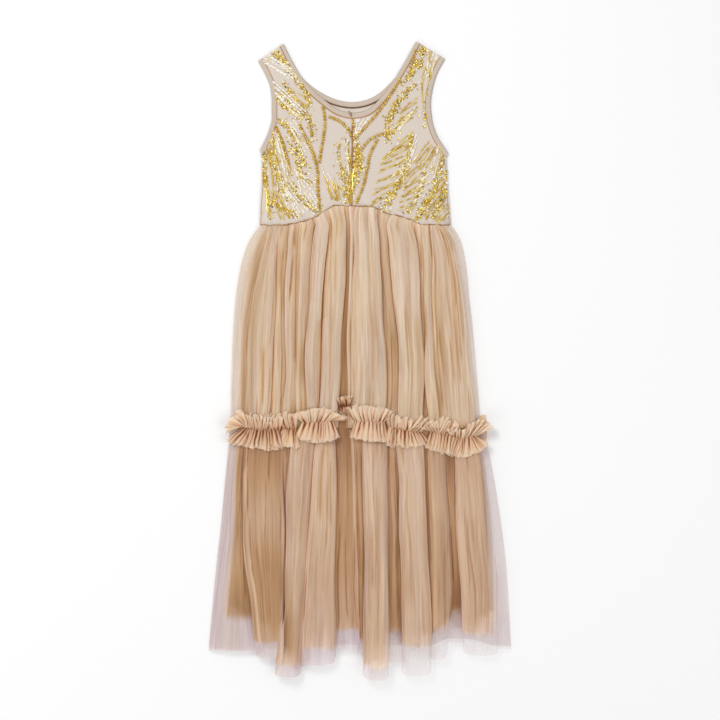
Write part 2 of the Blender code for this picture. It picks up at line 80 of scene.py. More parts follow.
# The edges of the bodice from its shoulders down, and its sides from the seam up
ARMHOLES = {
    "left": table(
        "x y", (-163, 478), (-152, 458), (-143, 434), (-141, 411), (-141, 387), (-147, 364), (-160, 336)
    ),
    "right": table("x y", (136, 482), (123, 458), (116, 434), (113, 411), (115, 387), (122, 363), (141, 332)),
}
NECKS = {
    ("front", "left"): table(
        "x y", (-122, 506), (-109, 480), (-91, 450), (-77, 434), (-56, 416), (-34, 401), (-12, 396)
    ),
    ("front", "right"): table(
        "x y", (90, 510), (74, 481), (58, 454), (46, 436), (32, 419), (10, 400), (-12, 396)
    ),
    ("back", "left"): table(
        "x y", (-122, 506), (-109, 480), (-91, 451), (-75, 437), (-58, 426), (-38, 417), (-13, 413)
    ),
    ("back", "right"): table(
        "x y", (90, 510), (74, 481), (58, 454), (45, 440), (32, 428), (12, 417), (-13, 413)
    ),
}
SIDES = {
    "left": table("x y", (-161, 216), (-160, 246), (-157.5, 282), (-156.8, 318)),
    "right": table("x y", (145.5, 216), (143, 246), (139.5, 293), (138, 320)),
}
ARMHOLE_ENDS = {"left": (-157.2, 327), "right": (138, 325.5)}
CENTRE_FRONT = table("x y", (-13, 246), (-12, 387))
HANDS = {"left": -1, "right": 1}
ARMHOLE_BINDING = 8.0
# The neck binding's width at the shoulder and at the centre
NECK_BINDING = (7.0, 9.0)

UPPER_EDGES = table(
    "y left right",
    (216, -160, 146), (202, -171, 156), (186, -180, 163), (164, -188, 168), (137, -194, 172),
    (103, -199, 175), (56, -203, 180), (-11, -206, 186), (-58, -207, 190), (-109, -207, 193),
)
LOWER_EDGES = table(
    "y left right",
    (-109, -207, 199), (-144, -211, 206), (-202, -217, 217), (-267, -223, 227), (-328, -230, 234),
    (-402, -237, 239), (-458, -242, 242),
)

# The folds of the front tiers, from left to right: where the crease on a fold's left lies at the top, middle
# and low end, how high the fold's crest stands, and how far the cloth laps over that crease at the top and
# low end, to the right when it is above 0; then how much painted shade the fold gets, how much painted shade
# the crease gets at its top, middle and low end, and how far that painted shade reaches. The first row is the
# left edge and the last two are the right.
UPPER_FOLDS = table(
    "top middle low height over_top over_low tone dark_top dark_middle dark_low soft",
    (-160, -203, -207, 0.0, 0, 0, 0.0, 0, 0, 0, 6),
    (-150, -190, -194, 2.5, 0, 0, 0.42, 0.1, 0.2, 0.2, 6),
    (-143, -176, -181, 8.0, -3, -6, 0.0, 0.2, 0.35, 0.4, 7),
    (-131, -138, -146, 6.5, 4, 0, 0.16, 0.95, 0.4, 0.65, 5),
    (-113, -119, -118, 7.0, -3, -5, 0.1, 0.6, 0.75, 1.0, 8),
    (-92, -97, -100, 6.0, -2, -4, 0.16, 0.2, 0.3, 1.0, 8),
    (-74, -80, -79, 12.0, -4, -5, 0.0, 0.3, 0.7, 1.0, 10),
    (-58, -62, -63, 13.0, 3, -3, 0.0, 0.9, 0.95, 0.4, 5),
    (-26, -29, -35, 1.5, 3, 1, 0.85, 0.5, 0.9, 1.0, 6),
    (-18, -20, -20, 8.0, -3, -1, 0.3, 0.5, 0.6, 0.6, 3),
    (-8, -10, -9, 14.0, -4, -6, 0.0, 0.3, 0.4, 0.4, 3),
    (28, 37, 37, 6.0, 3, 5, 0.34, 0.7, 0.4, 0.3, 6),
    (48, 61, 66, 12.5, -5, -7, 0.0, 0.75, 0.85, 0.6, 5),
    (87, 96, 100, 2.5, 3, 5, 0.2, 0.2, 0.35, 0.6, 7),
    (98, 104, 109, 9.5, -3, -5, 0.06, 0.3, 0.3, 0.4, 4),
    (112, 123, 138, 8.0, -4, -7, 0.08, 0.7, 0.4, 0.4, 4),
    (130, 166, 179, 0.0, 3, 6, 0.1, 0.1, 0.2, 0.3, 6),
    (145, 180, 193, 0.0, 0, 0, 0.0, 0, 0, 0, 6),
)
LOWER_FOLDS = table(
    "top middle low height hem over_top over_low bare tone dark_top dark_middle dark_low soft",
    (-207, -226, -242, 0.0, -465, 0, 0, 70, 0.1, 0, 0, 0, 6),
    (-193, -207, -219, 2.5, -466, 0, 0, 60, 0.58, 0.2, 0.2, 0.1, 6),
    (-181, -179, -156, 9.0, -477, -4, -9, 28, 0.5, 0.5, 0.5, 0.5, 6),
    (-121, -122, -131, 3.0, -488, 2, 4, 30, 0.3, 0.9, 1.2, 1.3, 18),
    (-108, -116, -127, 16.0, -507, -5, -7, 20, 0.0, 1.1, 0.6, 0.5, 5),
    (-66, -82, -92, 10.0, -488, -2, -6, 28, 0.04, 0.7, 0.5, 0.55, 6),
    (-43, -41, -46, 3.0, -463, 3, 5, 34, 0.48, 0.9, 0.45, 0.6, 7),
    (-15, -8, -2, 6.0, -474, 2, 5, 30, 0.45, 0.2, 0.3, 0.3, 7),
    (7, 9, 11, 17.0, -512, -5, -7, 21, 0.0, 0.6, 0.75, 0.9, 8),
    (41, 43, 45, 3.0, -483, 2, 3, 52, 0.42, 0.6, 0.5, 0.6, 6),
    (64, 69, 72, 15.0, -505, -4, -6, 50, 0.0, 0.9, 0.9, 1.0, 7),
    (97, 107, 110, 11.0, -478, 5, 6, 50, 0.24, 0.9, 0.5, 0.5, 6),
    (136, 143, 142, 3.0, -452, 1, 1, 52, 0.7, 0.9, 1.0, 0.5, 5),
    (149, 157, 168, 9.0, -472, -1, -3, 36, 0.16, 0.9, 0.8, 0.6, 8),
    (184, 212, 219, 0.0, -462, 3, 6, 60, 0.0, 0, 0.1, 0.1, 5),
    (199, 227, 242, 0.0, -462, 0, 0, 70, 0.0, 0, 0, 0, 5),
)
# Ridges and troughs inside the folds: x at the top, middle and low end, the share of the tier's length that
# each runs from and to, its height and its half width
UPPER_CREASES = table(
    "top middle low start end height width",
    (-135, -139, -141, 0.0, 0.22, -3.0, 2.2), (-112, -117, -122, 0.0, 0.10, -2.6, 2.6),
    (-108, -106, -104, 0.02, 0.16, 2.2, 2.4), (-122, -128, -130, 0.2, 0.8, 1.6, 3.0),
    (-84, -88, -92, 0.3, 1.0, 1.6, 2.2), (-66, -72, -79, 0.05, 0.95, 1.8, 1.8),
    (-50, -50, -52, 0.1, 0.9, 1.4, 2.6), (-40, -38, -40, 0.0, 0.6, -1.6, 2.0),
    (-2, 2, 4, 0.02, 0.7, 1.5, 2.4), (12, 16, 15, 0.15, 0.9, -1.4, 2.6), (22, 25, 27, 0.0, 0.5, 1.6, 1.8),
    (40, 46, 48, 0.2, 1.0, -1.4, 2.0), (64, 68, 74, 0.05, 0.8, 1.7, 2.8), (76, 82, 88, 0.1, 0.9, -1.4, 2.4),
    (121, 124, 122, 0.0, 0.14, -3.2, 2.4), (126, 140, 152, 0.05, 0.9, 1.8, 2.6),
    (134, 152, 164, 0.1, 0.8, -1.6, 3.0),
)
LOWER_CREASES = table(
    "top middle low start end height width",
    (-172, -160, -140, 0.02, 0.9, 1.6, 3.0), (-145, -128, -126, 0.0, 0.30, -3.2, 2.6),
    (-152, -150, -146, 0.3, 1.0, 1.2, 4.0), (-86, -98, -112, 0.05, 0.8, 1.6, 2.4),
    (-72, -90, -104, 0.1, 0.9, -1.4, 3.0), (-52, -62, -70, 0.2, 1.0, 1.3, 3.0),
    (-30, -28, -24, 0.1, 0.9, 1.4, 3.4), (-2, -2, 6, 0.1, 0.8, -1.2, 2.6), (20, 22, 24, 0.0, 1.0, 1.4, 2.8),
    (31, 33, 35, 0.1, 0.9, -1.3, 2.4), (74, 80, 82, 0.0, 0.9, 1.4, 2.4), (86, 94, 96, 0.15, 1.0, -1.3, 2.4),
    (112, 122, 120, 0.0, 0.8, 1.4, 2.6), (126, 132, 130, 0.3, 1.0, 1.1, 3.0),
    (160, 176, 186, 0.0, 0.9, 1.5, 3.4), (172, 196, 206, 0.05, 0.8, -1.4, 3.6),
)
TIER_BACK_HEM = table(
    "x y",
    (-242, -458), (-228, -463), (-190, -464), (-130, -461), (-60, -457), (0, -455), (60, -457), (105, -458),
    (145, -446), (175, -447), (215, -457), (242, -458),
)
LINING_FRONT_HEM = table(
    "x y",
    (-202, -395), (-191, -397), (-187, -408), (-176, -417), (-150, -420), (-60, -420), (50, -434),
    (115, -437), (140, -415), (160, -400), (202, -410),
)
LINING_BACK_HEM = table("x y", (-202, -392), (-120, -406), (0, -416), (120, -408), (202, -398))
# How far in from the outer tiers' edges those of the inner layers lie
INNER_INSET = table(
    "y underskirt lining",
    (216, 14, 17), (150, 18, 22), (-109, 15, 18), (-150, 11, 14), (-300, 19, 27), (-460, 30, 42),
)


def smoothstep(value, low=0.0, high=1.0):
    share = np.clip((value - low) / (high - low), 0, 1)
    return share * share * (3 - 2 * share)


def hermite(at, values, slope, where):
    """Values of the curve that runs through the points (at, values) with those slopes."""
    step = np.diff(at)
    i = np.clip(np.searchsorted(at, where, side="right") - 1, 0, len(step) - 1)
    t = np.clip((where - at[i]) / step[i], 0, 1)
    start = values[i] * (1 + 2 * t) + slope[i] * step[i] * t
    end = values[i + 1] * (3 - 2 * t) + slope[i + 1] * step[i] * (t - 1)
    return start * (1 - t) ** 2 + end * t**2


def smooth_line(at, values, where):
    """Values of a smooth curve through the points (at, values), with no overshoot between them."""
    rate = np.diff(values) / np.diff(at)
    slope = np.concatenate([rate[:1], np.zeros(len(at) - 2), rate[-1:]])
    before, after = rate[:-1], rate[1:]
    turning = before * after <= 0
    total = np.where(turning, 1, before + after)
    slope[1:-1] = np.where(turning, 0, 2 * before * after / total)
    return hermite(at, values, slope, where)


def lengths(points):
    """How far along the line each of its points lies."""
    return np.concatenate([[0], np.cumsum(np.linalg.norm(np.diff(points, axis=0), axis=1))])


def through(points, count):
    """That many points, evenly spread along a smooth curve through the given ones."""
    points = np.array(points, float)
    length = lengths(points)
    at = np.linspace(0, length[-1], count)
    return np.stack([smooth_line(length, column, at) for column in points.T], axis=1)


def xy(outline):
    return np.stack([outline["x"], outline["y"]], axis=1)


def along(outline, count):
    return through(xy(outline), count)


def unit(vector):
    return vector / np.maximum(np.linalg.norm(vector, axis=-1, keepdims=True), 1e-9)


def moved_in(points, distance, side, first, last=None):
    """The line moved to its left (side 1) or its right (side -1). first and last are the ways its ends go."""
    way = unit(np.gradient(points, axis=0))
    across = side * np.stack([-way[:, 1], way[:, 0]], axis=1)
    across[0] = first
    if last is not None:
        across[-1] = last
    return points + across * np.reshape(distance, (-1, 1))


NOISE_CELLS = (211, 97)


def noise(u, v, seed):
    """Smooth noise from -1 to 1, with one random value for each whole step of u and v."""
    cells = np.random.default_rng(seed).uniform(-1, 1, NOISE_CELLS)
    u, v = np.broadcast_arrays(np.asarray(u, float), np.asarray(v, float))
    i, j = np.floor(u).astype(int), np.floor(v).astype(int)
    a, b = smoothstep(u - i), smoothstep(v - j)
    (i, next_i), (j, next_j) = ((k % n, (k + 1) % n) for k, n in zip((i, j), NOISE_CELLS))
    low = cells[i, j] * (1 - a) + cells[next_i, j] * a
    high = cells[i, next_j] * (1 - a) + cells[next_i, next_j] * a
    return low * (1 - b) + high * b


def empire_y(x):
    return smooth_line(EMPIRE_SEAM["x"], EMPIRE_SEAM["y"], x)


# ---------------------------------------------------------------- materials


class Nodes:
    """A new material, with short ways to add nodes to it."""

    def __init__(self, name):
        self.material = bpy.data.materials.new(name)
        self.material.use_nodes = True
        self.tree = self.material.node_tree
        self.shader = self.tree.nodes["Principled BSDF"]

    def give(self, node, inputs):
        for key, value in inputs.items():
            if isinstance(value, bpy.types.NodeSocket):
                self.tree.links.new(value, node.inputs[key])
            else:
                node.inputs[key].default_value = value

    def add(self, kind, inputs, **settings):
        node = self.tree.nodes.new("ShaderNode" + kind)
        for key, value in settings.items():
            setattr(node, key, value)
        self.give(node, inputs)
        return node

    def mix(self, factor, a, b, blend="MIX"):
        return self.add("Mix", {0: factor, 6: a, 7: b}, data_type="RGBA", blend_type=blend).outputs[2]

    def maths(self, operation, a, b, clamp=False):
        return self.add("Math", {0: a, 1: b}, operation=operation, use_clamp=clamp).outputs[0]

    def times(self, a, b):
        return self.maths("MULTIPLY", a, b)

    def plus(self, a, b):
        return self.maths("ADD", a, b)

    def span(self, value, low, high, to_low=0.0, to_high=1.0):
        """The value, moved from the stretch between low and high to the one between the other two."""
        ends = {"From Min": low, "From Max": high, "To Min": to_low, "To Max": to_high}
        return self.add("MapRange", {"Value": value, **ends}).outputs[0]

    def kept(self, name):
        """One of the values that the mesh keeps at its points."""
        return self.add("Attribute", {}, attribute_name=name).outputs["Fac"]

    def cloth(self, across=None, down=None):
        """Places by the cloth's own lengthways map, with that many steps to a metre."""
        where = self.add("UVMap", {}, uv_map="cloth").outputs[0]
        if across is None:
            return where
        return self.add("Mapping", {"Vector": where, "Scale": (across, down, 1)}).outputs[0]

    def noise(self, scale, detail, **others):
        return self.add("TexNoise", {"Scale": scale, "Detail": detail, **others}).outputs["Fac"]

    def streaks(self, across, down, detail=2.0, wander=0.0):
        """Noise drawn out along the cloth."""
        return self.noise(1.0, detail, Vector=self.cloth(across, down), Distortion=wander)

    def ramp(self, factor, *stops):
        """Colours along the factor. Each stop is its place and its colour."""
        node = self.add("ValToRGB", {"Fac": factor})
        elements = node.color_ramp.elements
        elements.remove(elements[1])
        for index, (at, colour) in enumerate(stops):
            stop = elements.new(at) if index else elements[0]
            stop.position, stop.color = at, colour
        return node.outputs[0]

    def finish(self, colour, roughness, bump=None, specular=0.5, sheen=0.0, **others):
        """The material, with its shader set. bump is its height, strength and distance in metres."""
        if bump:
            node = self.add("Bump", dict(zip(("Height", "Strength", "Distance"), bump)))
            others["Normal"] = node.outputs[0]
        same = {"Roughness": roughness, "Specular IOR Level": specular, "Sheen Weight": sheen}
        self.give(self.shader, {"Base Color": colour, **same, **others})
        return self.material


def rgb(red, green, blue):
    """A colour given by its 0 to 255 values, in linear light."""
    value = np.array([red, green, blue]) / 255
    return (*np.where(value <= 0.04045, value / 12.92, ((value + 0.055) / 1.055) ** 2.4), 1.0)


# Streaks in the tulle: steps to a metre across and along it, detail, wander and weight
TULLE_STREAKS = ((55, 2.6, 3.0, 0.5, 0.33), (165, 6.0, 2.0, 0.7, 0.35), (460, 13.0, 2.0, 0.5, 0.32))
# What the colour is multiplied by from streak to streak, in lightness and in hue
TULLE_TONES = ((0.86, 0.80, 0.74, 1), (1.06, 1.05, 1.04, 1))
TULLE_HUES = ((1.02, 1.0, 0.93, 1), (0.99, 0.962, 0.975, 1))
STREAK_ENDS = (0.38, 0.62)
NET_HOLE = 0.12


def tulle(name, ridge, shaded, deep, pale, cover=1.0, streaky=1.0):
    """Sheer net: painted shade in the folds darkens its colour, partly its denser layers there; it pales
    where it lies one layer thick and where highlights are painted, and its cover varies.
    """
    nodes = Nodes(name)
    wide, middle, fine = (nodes.streaks(*streak[:4]) for streak in TULLE_STREAKS)
    patches = nodes.span(nodes.streaks(24, 7.0), 0.35, 0.65, 0.7 * streaky, 1.9 * streaky)
    weighed = [nodes.times(value, streak[4]) for value, streak in zip((wide, middle, fine), TULLE_STREAKS)]
    summed = nodes.plus(nodes.plus(weighed[0], weighed[1]), weighed[2])
    varied = nodes.times(nodes.maths("SUBTRACT", summed, 0.5), patches)
    # Painted shade: the fold values, partly the net's denser layers, darken it towards the shaded and deep
    # colours
    fold_shade = nodes.kept("fold")
    colour = nodes.mix(nodes.span(fold_shade, 0.0, 0.5), rgb(*ridge), rgb(*shaded))
    colour = nodes.mix(nodes.span(fold_shade, 0.5, 1.0), colour, rgb(*deep))
    # Paler where the net lies one layer thick, and painted highlights on ridges and fold edges
    colour = nodes.mix(nodes.kept("single"), colour, rgb(*pale))
    hue = nodes.streaks(42, 4.5, 2.0, 0.6)
    for value, tones in ((nodes.plus(varied, 0.5), TULLE_TONES), (hue, TULLE_HUES)):
        colour = nodes.mix(1.0, colour, nodes.ramp(value, *zip(STREAK_ENDS, tones)), "MULTIPLY")
    net = nodes.add("TexVoronoi", {"Scale": 900.0}, feature="DISTANCE_TO_EDGE").outputs["Distance"]
    alpha = nodes.plus(nodes.kept("cover"), nodes.times(varied, 0.35))
    alpha = nodes.plus(alpha, nodes.span(net, 0.0, 0.4, NET_HOLE, -NET_HOLE))
    alpha = nodes.maths("MULTIPLY", alpha, cover, clamp=True)
    bump = (nodes.plus(middle, fine), 0.2, 0.0005)
    return nodes.finish(colour, 0.8, bump, specular=0.15, sheen=0.12, Alpha=alpha)


def patched(nodes, colour, dark, size, patchy, threads, thready, fold_shade_tint):
    """Close cloth's colour: in faint patches, darker along its threads, and darker again by the painted shade
    that its fold values give.

    patchy and thready are how much of the dark colour the patches and the threads take on.
    """
    colour, dark = rgb(*colour), rgb(*dark)
    patches = nodes.noise(size, 4.0, Vector=nodes.cloth())
    colour = nodes.mix(nodes.times(patches, patchy), colour, dark)
    colour = nodes.mix(nodes.times(threads, thready), colour, dark)
    # Painted shade: the fold values tint the colour darker
    return nodes.mix(nodes.kept("fold"), colour, nodes.mix(1.0, colour, (*fold_shade_tint, 1), "MULTIPLY"))


def woven(name, colour, dark, roughness, across, down, height, sheen):
    """Close cloth of crossing threads."""
    nodes = Nodes(name)
    where = {"Vector": nodes.cloth(across, down), "Scale": 1.0}
    warp, weft = (nodes.add("TexWave", where, bands_direction=way).outputs["Fac"] for way in "XY")
    threads = nodes.times(warp, weft)
    shaded = patched(nodes, colour, dark, 14.0, 0.7, threads, 0.22, fold_shade_tint=(0.55, 0.48, 0.42))
    return nodes.finish(shaded, roughness, (threads, 0.5, height), specular=0.25, sheen=sheen)


def netting(name, colour, line, cells):
    """Fine net over close cloth of about its own colour."""
    nodes = Nodes(name)
    where = {"Vector": nodes.cloth(), "Scale": cells, "Randomness": 0.35}
    net = nodes.add("TexVoronoi", where, feature="DISTANCE_TO_EDGE").outputs["Distance"]
    threads = nodes.span(net, 0.0, 0.16, 1.0, 0.0)
    shaded = patched(nodes, colour, line, 22.0, 0.5, threads, 0.45, fold_shade_tint=(0.50, 0.40, 0.30))
    return nodes.finish(shaded, 0.6, (threads, 0.4, 0.00015), specular=0.3, sheen=0.1)


def metal(name, stops, roughness):
    """Coated sequins and beads. stops are colours along their shades, of which the palest are glass."""
    nodes = Nodes(name)
    shade = nodes.kept("shade")
    colour = nodes.ramp(shade, *((at, rgb(*colour)) for at, *colour in stops))
    return nodes.finish(colour, roughness, Metallic=nodes.span(shade, 0.6, 0.85, 0.6, 0.0))


def plain(name, colour):
    """Dull thread with a fine grain."""
    nodes = Nodes(name)
    grain = nodes.noise(900.0, 2.0)
    colour = rgb(*colour)
    low = (*(0.75 * part for part in colour[:3]), 1.0)
    return nodes.finish(nodes.mix(grain, low, colour), 0.7, (grain, 0.3, 0.0002))


# ---------------------------------------------------------------- meshes


def put(name, data, place=(0, 0, 0)):
    """A new object in the scene."""
    obj = bpy.data.objects.new(name, data)
    obj.location = place
    bpy.context.scene.collection.objects.link(obj)
    return obj


def piece(name, points, faces, material, maps=None, values=(), smooth=True):
    """A mesh from points in millimetres, which rides on the dress's one body."""
    mesh = bpy.data.meshes.new(name)
    mesh.from_pydata((np.asarray(points).reshape(-1, 3) * MM).tolist(), [], np.asarray(faces).tolist())
    if maps is not None:
        flat = np.asarray(maps).reshape(-1, 2)
        corners = np.zeros(len(mesh.loops), int)
        mesh.loops.foreach_get("vertex_index", corners)
        layer = mesh.uv_layers.new(name="cloth")
        layer.data.foreach_set("uv", (flat[corners] * MM).ravel().astype(np.float32))
    for key, value in dict(values).items():
        attribute = mesh.attributes.new(key, "FLOAT", "POINT")
        attribute.data.foreach_set("value", np.asarray(value, np.float32).ravel())
    if smooth:
        mesh.shade_smooth()
    mesh.materials.append(material)
    obj = put(name, mesh)
    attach(obj, "root")
    return obj


def grid_faces(rows, columns, start=0):
    """The quads of a grid of points, facing up when rows run down and columns run right."""
    index = start + np.arange(rows * columns).reshape(rows, columns)
    corners = (index[1:, :-1], index[1:, 1:], index[:-1, 1:], index[:-1, :-1])
    return np.stack([c.ravel() for c in corners], axis=1)


def steepness(points):
    """How much cloth lies over each place, as a share of what would lie there flat."""
    across, down = np.gradient(points, axis=1), np.gradient(points, axis=0)
    normal = np.cross(across, down)
    return np.linalg.norm(normal, axis=2) / np.maximum(np.abs(normal[..., 2]), 1e-6)


def joined(grids):
    """Several grids of points as the points and quads of one mesh."""
    points, faces, count = [], [], 0
    for grid in grids:
        points.append(grid.reshape(-1, 3))
        faces.append(grid_faces(*grid.shape[:2], count))
        count += len(points[-1])
    return np.concatenate(points), np.concatenate(faces)


def tree_of(*grids):
    """What rays can be cast at, from grids of points."""
    points, faces = joined(grids)
    return BVHTree.FromPolygons(points.tolist(), faces.tolist())


def sheet_piece(name, parts, material, replaced):
    """One mesh from stretches of cloth, each with its points, map and values, in place of a solid."""
    grids, maps, values = zip(*parts)
    points, faces = joined(grids)
    maps = np.concatenate([part.reshape(-1, 2) for part in maps])
    values = {key: np.concatenate([part[key].ravel() for part in values]) for key in values[0]}
    obj = piece(name, points, faces, material, maps, values)
    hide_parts(replaced)


def level_line(y):
    return lambda x: np.full_like(x, y)


def empire_line(above):
    return lambda x: empire_y(x) + above


def hem_line(hem):
    return lambda x: smooth_line(hem["x"], hem["y"], x)


# ---------------------------------------------------------------- folded tiers

# Half a fold, from its crease to its middle, as shares of the fold's width and height: open, lapping over its
# crease, and running in under the next fold's lap. "lap" is in shares of how far the cloth laps over.
HALF_FOLD = table(
    "width height lap_width lap lap_height under_width under under_height",
    (0.00, 0.00, 0.00, 0.30, 0.00, 0.00, -0.3, 0.00),
    (0.04, 0.30, 0.00, -0.50, 0.12, 0.03, 0, 0.06),
    (0.09, 0.55, 0.02, -1.00, 0.42, 0.10, 0, 0.20),
    (0.16, 0.78, 0.07, -0.75, 0.78, 0.19, 0, 0.45),
    (0.26, 0.93, 0.18, -0.10, 0.96, 0.30, 0, 0.75),
    (0.38, 0.99, 0.34, 0.00, 1.00, 0.40, 0, 0.95),
    (0.50, 1.00, 0.50, 0.00, 1.00, 0.50, 0, 1.00),
)
# How far the hem hangs from a fold's crease to its middle, as a share of what it hangs there
HEM_HANG = np.array([0.0, 0.4, 0.7, 0.86, 0.95, 1.0, 1.0])
LAP_FULL = 3.0
CREASE_WANDER = 3.2
# How far to each side a recess is looked for, and the depths between which painted shade darkens it
WIDE_RECESS = (34.0, (3.0, 15.0))
NARROW_RECESS = (6.0, (0.7, 3.0))
# How much of a fold's painted shade is there at its top, and the share of the length at which all of it is
SEWN_EASE = (0.55, 0.6)
FREE_EASE = (1.45, 0.3)
# Thin dark lines in the tulle, partly its doubled net and partly painted shade: how many there are, how dark
# and how wide
GATHER_LINES = (90, 0.9, 2.6)
LONG_LINES = (150, 0.75, 2.6)
SEWN_LINES = (90, 0.7, 2.0)
# Where the tulle pales or thins out, as distances in from its left and from its right edge
EVEN_BANDS = ((8, 26), (8, 26))


def half_fold(width, over):
    """Half a fold, as distances in from its crease and shares of its height. over is the lap on that side."""
    lap, under = np.maximum(over, 0), np.maximum(-over, 0)
    laps, unders = smoothstep(lap / LAP_FULL), smoothstep(under / LAP_FULL)
    rest = 1 - laps - unders
    away, high = (
        HALF_FOLD[key] * rest + HALF_FOLD["lap_" + key] * laps + HALF_FOLD["under_" + key] * unders
        for key in ("width", "height")
    )
    return width * away + lap * HALF_FOLD["lap"] + under * HALF_FOLD["under"], high


def on_parabolas(lines, down):
    """Where each line lies at each row: on a parabola through its places at the top, middle and low end."""
    d = down[:, None]
    upper = lines["top"] * (1 - d) * (1 - 2 * d) + lines["middle"] * 4 * d * (1 - d)
    return upper + lines["low"] * d * (2 * d - 1)


def crease_lines(folds, edges, down):
    """Where the creases and side edges of a tier lie at each row."""
    lines = on_parabolas(folds, down)
    top_y, low_y = edges["y"][[0, -1]]
    at = top_y + (low_y - top_y) * down
    for edge, index, beside in (("left", 0, 1), ("right", -1, -2)):
        moved = smooth_line(-edges["y"], edges[edge], -at) - lines[:, index]
        lines[:, index] += moved
        lines[:, beside] += moved
    return lines


def spread(knots, counts):
    """Points along smooth curves through each row of knots, counts[j] of them from knot j on."""
    index = np.repeat(np.arange(len(counts)), counts)
    t = np.concatenate([np.arange(n) / n for n in counts])
    index, t = np.append(index, len(counts) - 1), np.append(t, 1.0)
    before, after = 2 * knots[:, :1] - knots[:, 1:2], 2 * knots[:, -1:] - knots[:, -2:-1]
    padded = np.concatenate([before, knots, after], axis=1)
    a, b, c, d = (padded[:, index + k] for k in range(4))
    return 0.5 * (2 * b + (c - a) * t + (2 * a - 5 * b + 4 * c - d) * t**2 + (3 * b - a - 3 * c + d) * t**3)


def folded(folds, edges, down, spacing, lap):
    """A folded tier's rows as x and height, its hem, its bare length, its length across, and its creases."""
    fade, order = smoothstep(down / 0.08)[:, None], np.arange(len(folds["top"]))
    over = folds["over_top"] + (folds["over_low"] - folds["over_top"]) * down[:, None]
    varied = np.clip(0.85 + 0.7 * noise(down[:, None] * 4.3 + order * 5.7, order * 3.3, 19), 0.1, 1.5)
    over = over * (0.35 + 0.65 * fade) * lap * varied
    wander = CREASE_WANDER * noise(down[:, None] * 3.7 + order * 9.1, order * 2.7, 23) * fade
    wander = wander * (1 - 0.6 * smoothstep(down, 0.9, 1.0))[:, None]
    wander[:, [0, 1, -2, -1]] = 0
    lines = crease_lines(folds, edges, down) + wander
    hems, bares = (folds.get(key, 0.0 * order) for key in ("hem", "bare"))
    columns, last = [], len(order) - 2
    for i in range(last + 1):
        start, end = lines[:, i : i + 1], lines[:, i + 1 : i + 2]
        left, left_high = half_fold(end - start, -over[:, i : i + 1])
        right, right_high = half_fold(end - start, over[:, i + 1 : i + 2])
        x = np.concatenate([(start + left)[:, :-1], (end - right)[:, ::-1]], axis=1)
        if i in (0, last):
            share = (x - start) / (end - start)
            share = np.clip(share if i == 0 else 1 - share, 0, 1)
            z = (TIER_EDGE_Z - TIER_FRONT_Z) * (1 - share) ** 3
        else:
            z = np.concatenate([left_high[:, :-1], right_high[:, ::-1]], axis=1) * folds["height"][i]
        at_left, at_right = max(hems[i], hems[max(i - 1, 0)]), max(hems[i], hems[i + 1])
        left_hem, right_hem = (at + (hems[i] - at) * HEM_HANG for at in (at_left, at_right))
        hem = np.concatenate([left_hem[:-1], right_hem[::-1]])[None]
        keep = slice(None) if i == last else slice(0, -1)
        columns.append([part[:, keep] for part in (x, z, hem, np.full_like(hem, bares[i]))])
    x, z, hem, bare = (np.concatenate(parts, axis=1) for parts in zip(*columns))
    middle = len(down) // 2
    steps = np.hypot(np.diff(x[middle]), np.diff(z[middle]))
    counts = np.clip(np.round(steps / spacing), 2, 8).astype(int)
    x, z, hem, bare = (spread(knots, counts) for knots in (x, z, hem, bare))
    across = lengths(np.stack([x[middle], z[middle]], axis=1))
    return x, z, hem[0], bare[0], across, lines, over


def crease_shade(x, lines, over, folds, down, deeper, eased, seed):
    """How much painted shade each place gets from its fold and the creases beside it, and how much painted
    highlight lies along the folds' edges.
    """
    deeper = deeper * (smoothstep(down, 0.35, 0.65) * (1 - smoothstep(down, 0.8, 0.95)))[:, None]
    share = (eased[0] + (1 - eased[0]) * smoothstep(down, 0.05, eased[1]))[:, None]
    dark, bright = np.zeros_like(x), np.zeros_like(x)
    for j, tone in enumerate(folds["tone"][:-1]):
        start, end = lines[:, j : j + 1], lines[:, j + 1 : j + 2]
        within = smoothstep(x - start, -1, 4) * (1 - smoothstep(x - end, -4, 1))
        varied = 0.85 + 0.3 * noise(down[:, None] * 5, j * 1.7, seed)
        dark = np.maximum(dark, (tone * share + deeper) * within * varied)
    for j in range(1, len(folds["top"]) - 1):
        at_rows = [folds[key][j] for key in ("dark_top", "dark_middle", "dark_low")]
        strength = np.interp(down, (0.05, 0.5, 0.95), at_rows)
        strength = (strength * np.clip(0.85 + 0.75 * noise(down * 6, j * 2.3, seed + 1), 0.15, 1.2))[:, None]
        lap = over[:, j : j + 1]
        beyond = (x - lines[:, j : j + 1] - lap) * np.sign(lap + 1e-6)
        line = np.exp(-(beyond**2))
        shade = np.exp(-np.maximum(beyond, 0) / folds["soft"][j]) * (beyond > -0.4)
        # Painted shade beside each crease, and a painted highlight along the lapping fold's edge
        dark = np.maximum(dark, strength * np.maximum(0.85 * line, 0.62 * shade))
        bright = np.maximum(bright, np.minimum(strength, 1) * np.exp(-(((beyond + 2.3) / 1.1) ** 2)))
    return dark, bright


